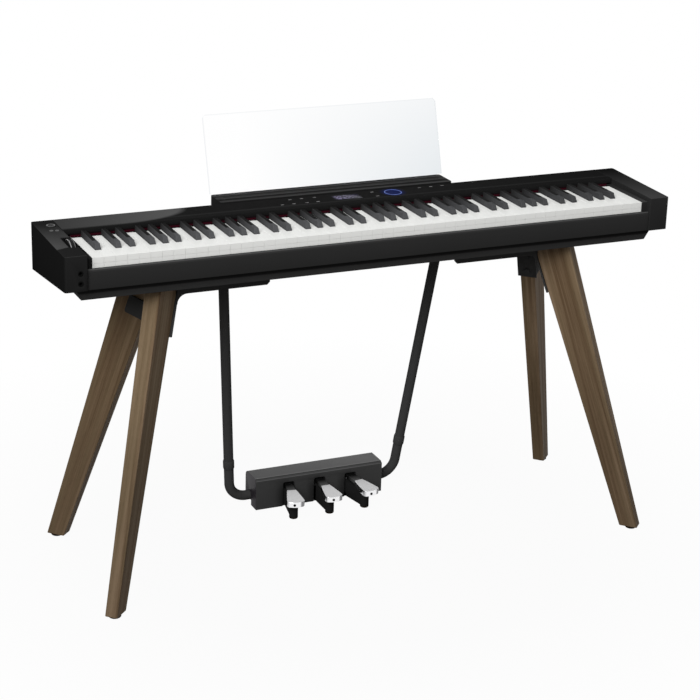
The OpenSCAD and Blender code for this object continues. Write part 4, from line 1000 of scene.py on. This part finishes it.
def pedal_dot():
    """Small dark dome in the tip, a little to its bass side, that stands in for a painted dark reflection: its
    rings shrink by 1 - cos a as they come forward by sin a."""
    turn = np.linspace(0, 2 * math.pi, 20, endpoint=False)
    middle = HEAD_TOP - HEAD_DEEP / 2 - 0.5 * MM
    aside = -4.5 * MM
    radius, soft, root = 3.0, 0.5, 1.2        # in millimetres, as the rows are
    rows = [(radius, -root)]
    rows += [(radius - soft * (1 - math.cos(a)), 0.2 + 0.25 * math.sin(a)) for a in np.linspace(0, 1.57, 4)]
    rings = [np.column_stack([aside + r * MM * np.cos(turn), np.full(20, -TIP - f * MM),
                              middle + r * MM * np.sin(turn)]) for r, f in rows]
    return ring_stack(np.stack(rings))


def placed(shape, pivot, axis, tilt):
    """A shape from the pedal's own axes to the row frame: tilted about X, then turned about Z."""
    points, faces = shape
    turn = Matrix.Rotation(math.atan2(axis.y, axis.x), 4, "Z")
    turn = turn @ Matrix.Rotation(math.radians(tilt), 4, "X")
    m = np.array(Matrix.Translation(pivot) @ turn)
    return points @ m[:3, :3].T + m[:3, 3], faces


def give_top(obj, up):
    """The head's flat top takes the second material; the rest keeps the first."""
    normals = np.empty(3 * len(obj.data.polygons))
    obj.data.polygons.foreach_get("normal", normals)
    slots = (normals.reshape(-1, 3) @ np.array(up) > 0.97).astype(np.int32)
    obj.data.polygons.foreach_set("material_index", slots)


TILT = 4.3                                # degrees that a pedal at rest slopes down to its tip
for node_name in ("soft_pedal", "sostenuto_pedal", "damper_pedal"):
    pivot, axis = pedal_axes(node_name)
    head = piece(node_name + "_head", placed(pedal_head(), pivot, axis, TILT), node_name, [RIM, SATIN],
                 nodes=[node_name], sharp=50)
    across = pedal_head()[0][:, 0] / HEAD_FAR
    layer = head.data.attributes.new("across", "FLOAT", "POINT")
    layer.data.foreach_set("value", across.astype(np.float32))
    (origin, tip), _ = placed((np.array([[0, 0, 0], [0, 0, 1]], float), []), pivot, axis, TILT)
    give_top(head, tip - origin)
    piece(node_name + "_neck", placed(pedal_neck(), pivot, axis, TILT), node_name, NECK)
    # painted reflection: a dark dome in the polished tip
    dot = placed(pedal_dot(), pivot, axis, TILT)
    piece(node_name + "_dark_reflection_dot", dot, node_name, ARM_BLACK)


# ------------------------------------------------------------------ camera, floor and light


CAMERA_PLACE = (-1.67013, -3.65254, 1.88088)
CAMERA_TURNS = (24.487, -19.954, 1.642)   # yaw, pitch and roll in degrees
LENS, SENSOR_WIDTH = 103.06, 36.0         # in millimetres


def camera():
    """The camera as a pinhole: its place, and its axes from yaw, pitch and roll."""
    yaw, pitch, roll = (math.radians(a) for a in CAMERA_TURNS)
    forward = Vector((math.sin(yaw) * math.cos(pitch), math.cos(yaw) * math.cos(pitch), math.sin(pitch)))
    level = Vector((math.cos(yaw), -math.sin(yaw), 0))
    up = level.cross(forward)
    right = math.cos(roll) * level + math.sin(roll) * up
    top = -math.sin(roll) * level + math.cos(roll) * up
    data = bpy.data.cameras.new("camera")
    data.lens, data.sensor_width = LENS, SENSOR_WIDTH
    data.clip_end = 60.0
    obj = bpy.data.objects.new("camera", data)
    bpy.context.scene.collection.objects.link(obj)
    place = Matrix((right, top, -forward)).transposed().to_4x4()
    place.translation = Vector(CAMERA_PLACE)
    obj.matrix_world = place
    bpy.context.scene.camera = obj


def lamp(name, place, aim, size, power):
    """A soft rectangular lamp at a place, aimed at a point."""
    data = bpy.data.lights.new(name, "AREA")
    data.shape, data.size, data.size_y = "RECTANGLE", size[0], size[1]
    data.energy = power
    obj = bpy.data.objects.new(name, data)
    bpy.context.scene.collection.objects.link(obj)
    obj.location = place
    obj.rotation_euler = (Vector(aim) - Vector(place)).to_track_quat("-Z", "Y").to_euler()


def seen_as_background(tree):
    """1 for camera, gloss and glass rays, which see the studio plain white, and 0 for light on the
    object."""
    path = tree.nodes.new("ShaderNodeLightPath").outputs
    either = calc(tree, "MAXIMUM", path["Is Camera Ray"], path["Is Glossy Ray"])
    return calc(tree, "MAXIMUM", either, path["Is Transmission Ray"])


def show(tree, output, mask, first, second):
    """Sends a mix of two shaders to the output, the second where the mask is 1."""
    mix = add(tree, "ShaderNodeMixShader")
    for socket, value in zip(mix.inputs, (mask, first.outputs[0], second.outputs[0])):
        feed(tree, socket, value)
    feed(tree, tree.nodes[output].inputs["Surface"], mix.outputs[0])


def white_world(strength):
    """World that lights the object at a plain level and is plain white to the camera, gloss and glass."""
    world = bpy.data.worlds.new("studio")
    bpy.context.scene.world = world
    world.use_nodes = True
    tree = world.node_tree
    light = tree.nodes["Background"]
    light.inputs["Color"].default_value = (1, 1, 1, 1)
    light.inputs["Strength"].default_value = strength
    seen = add(tree, "ShaderNodeBackground", Color=(1, 1, 1, 1), Strength=1.0)
    show(tree, "World Output", seen_as_background(tree), light, seen)


def studio_floor():
    """Wide pale floor just under the glides. It keeps a soft shadow near the stand and goes to plain white
    away from it."""
    mesh = bpy.data.meshes.new("floor")
    r = 12.0
    z = CAD_BOX[0][2] - 0.5 * MM
    mesh.from_pydata([(-r, -r, z), (r, -r, z), (r, r, z), (-r, r, z)], [], [(0, 1, 2, 3)])
    obj = bpy.data.objects.new("floor", mesh)
    bpy.context.scene.collection.objects.link(obj)
    mat, tree, shader = new_material("pale floor")
    shader.inputs["Base Color"].default_value = (0.24, 0.235, 0.23, 1)
    shader.inputs["Roughness"].default_value = 0.9
    shader.inputs["Specular IOR Level"].default_value = 0.0
    away = add(tree, "ShaderNodeVectorMath", operation="LENGTH")
    feed(tree, away.inputs[0], add(tree, "ShaderNodeTexCoord").outputs["Object"])
    white = spread(tree, away.outputs["Value"], 0.5, 1.3, 0.955, 1.0)
    seen = add(tree, "ShaderNodeEmission", Color=(1, 1, 1, 1), Strength=1.0)
    show(tree, "Material Output", calc(tree, "MULTIPLY", seen_as_background(tree), white), shader, seen)
    mesh.materials.append(mat)


camera()
white_world(0.2)
studio_floor()
lamp("key light", (-5.8, -5.8, 6.5), (0, 0, 0.5), (6.0, 6.0), 990)
lamp("top light", (0, 0.2, 3.4), (0, 0, 0.7), (4.0, 3.0), 25)
lamp("fill light", (3.2, -2.6, 1.6), (0, 0, 0.5), (2.0, 2.0), 7)

scene = bpy.context.scene
scene.view_settings.view_transform = "Standard"
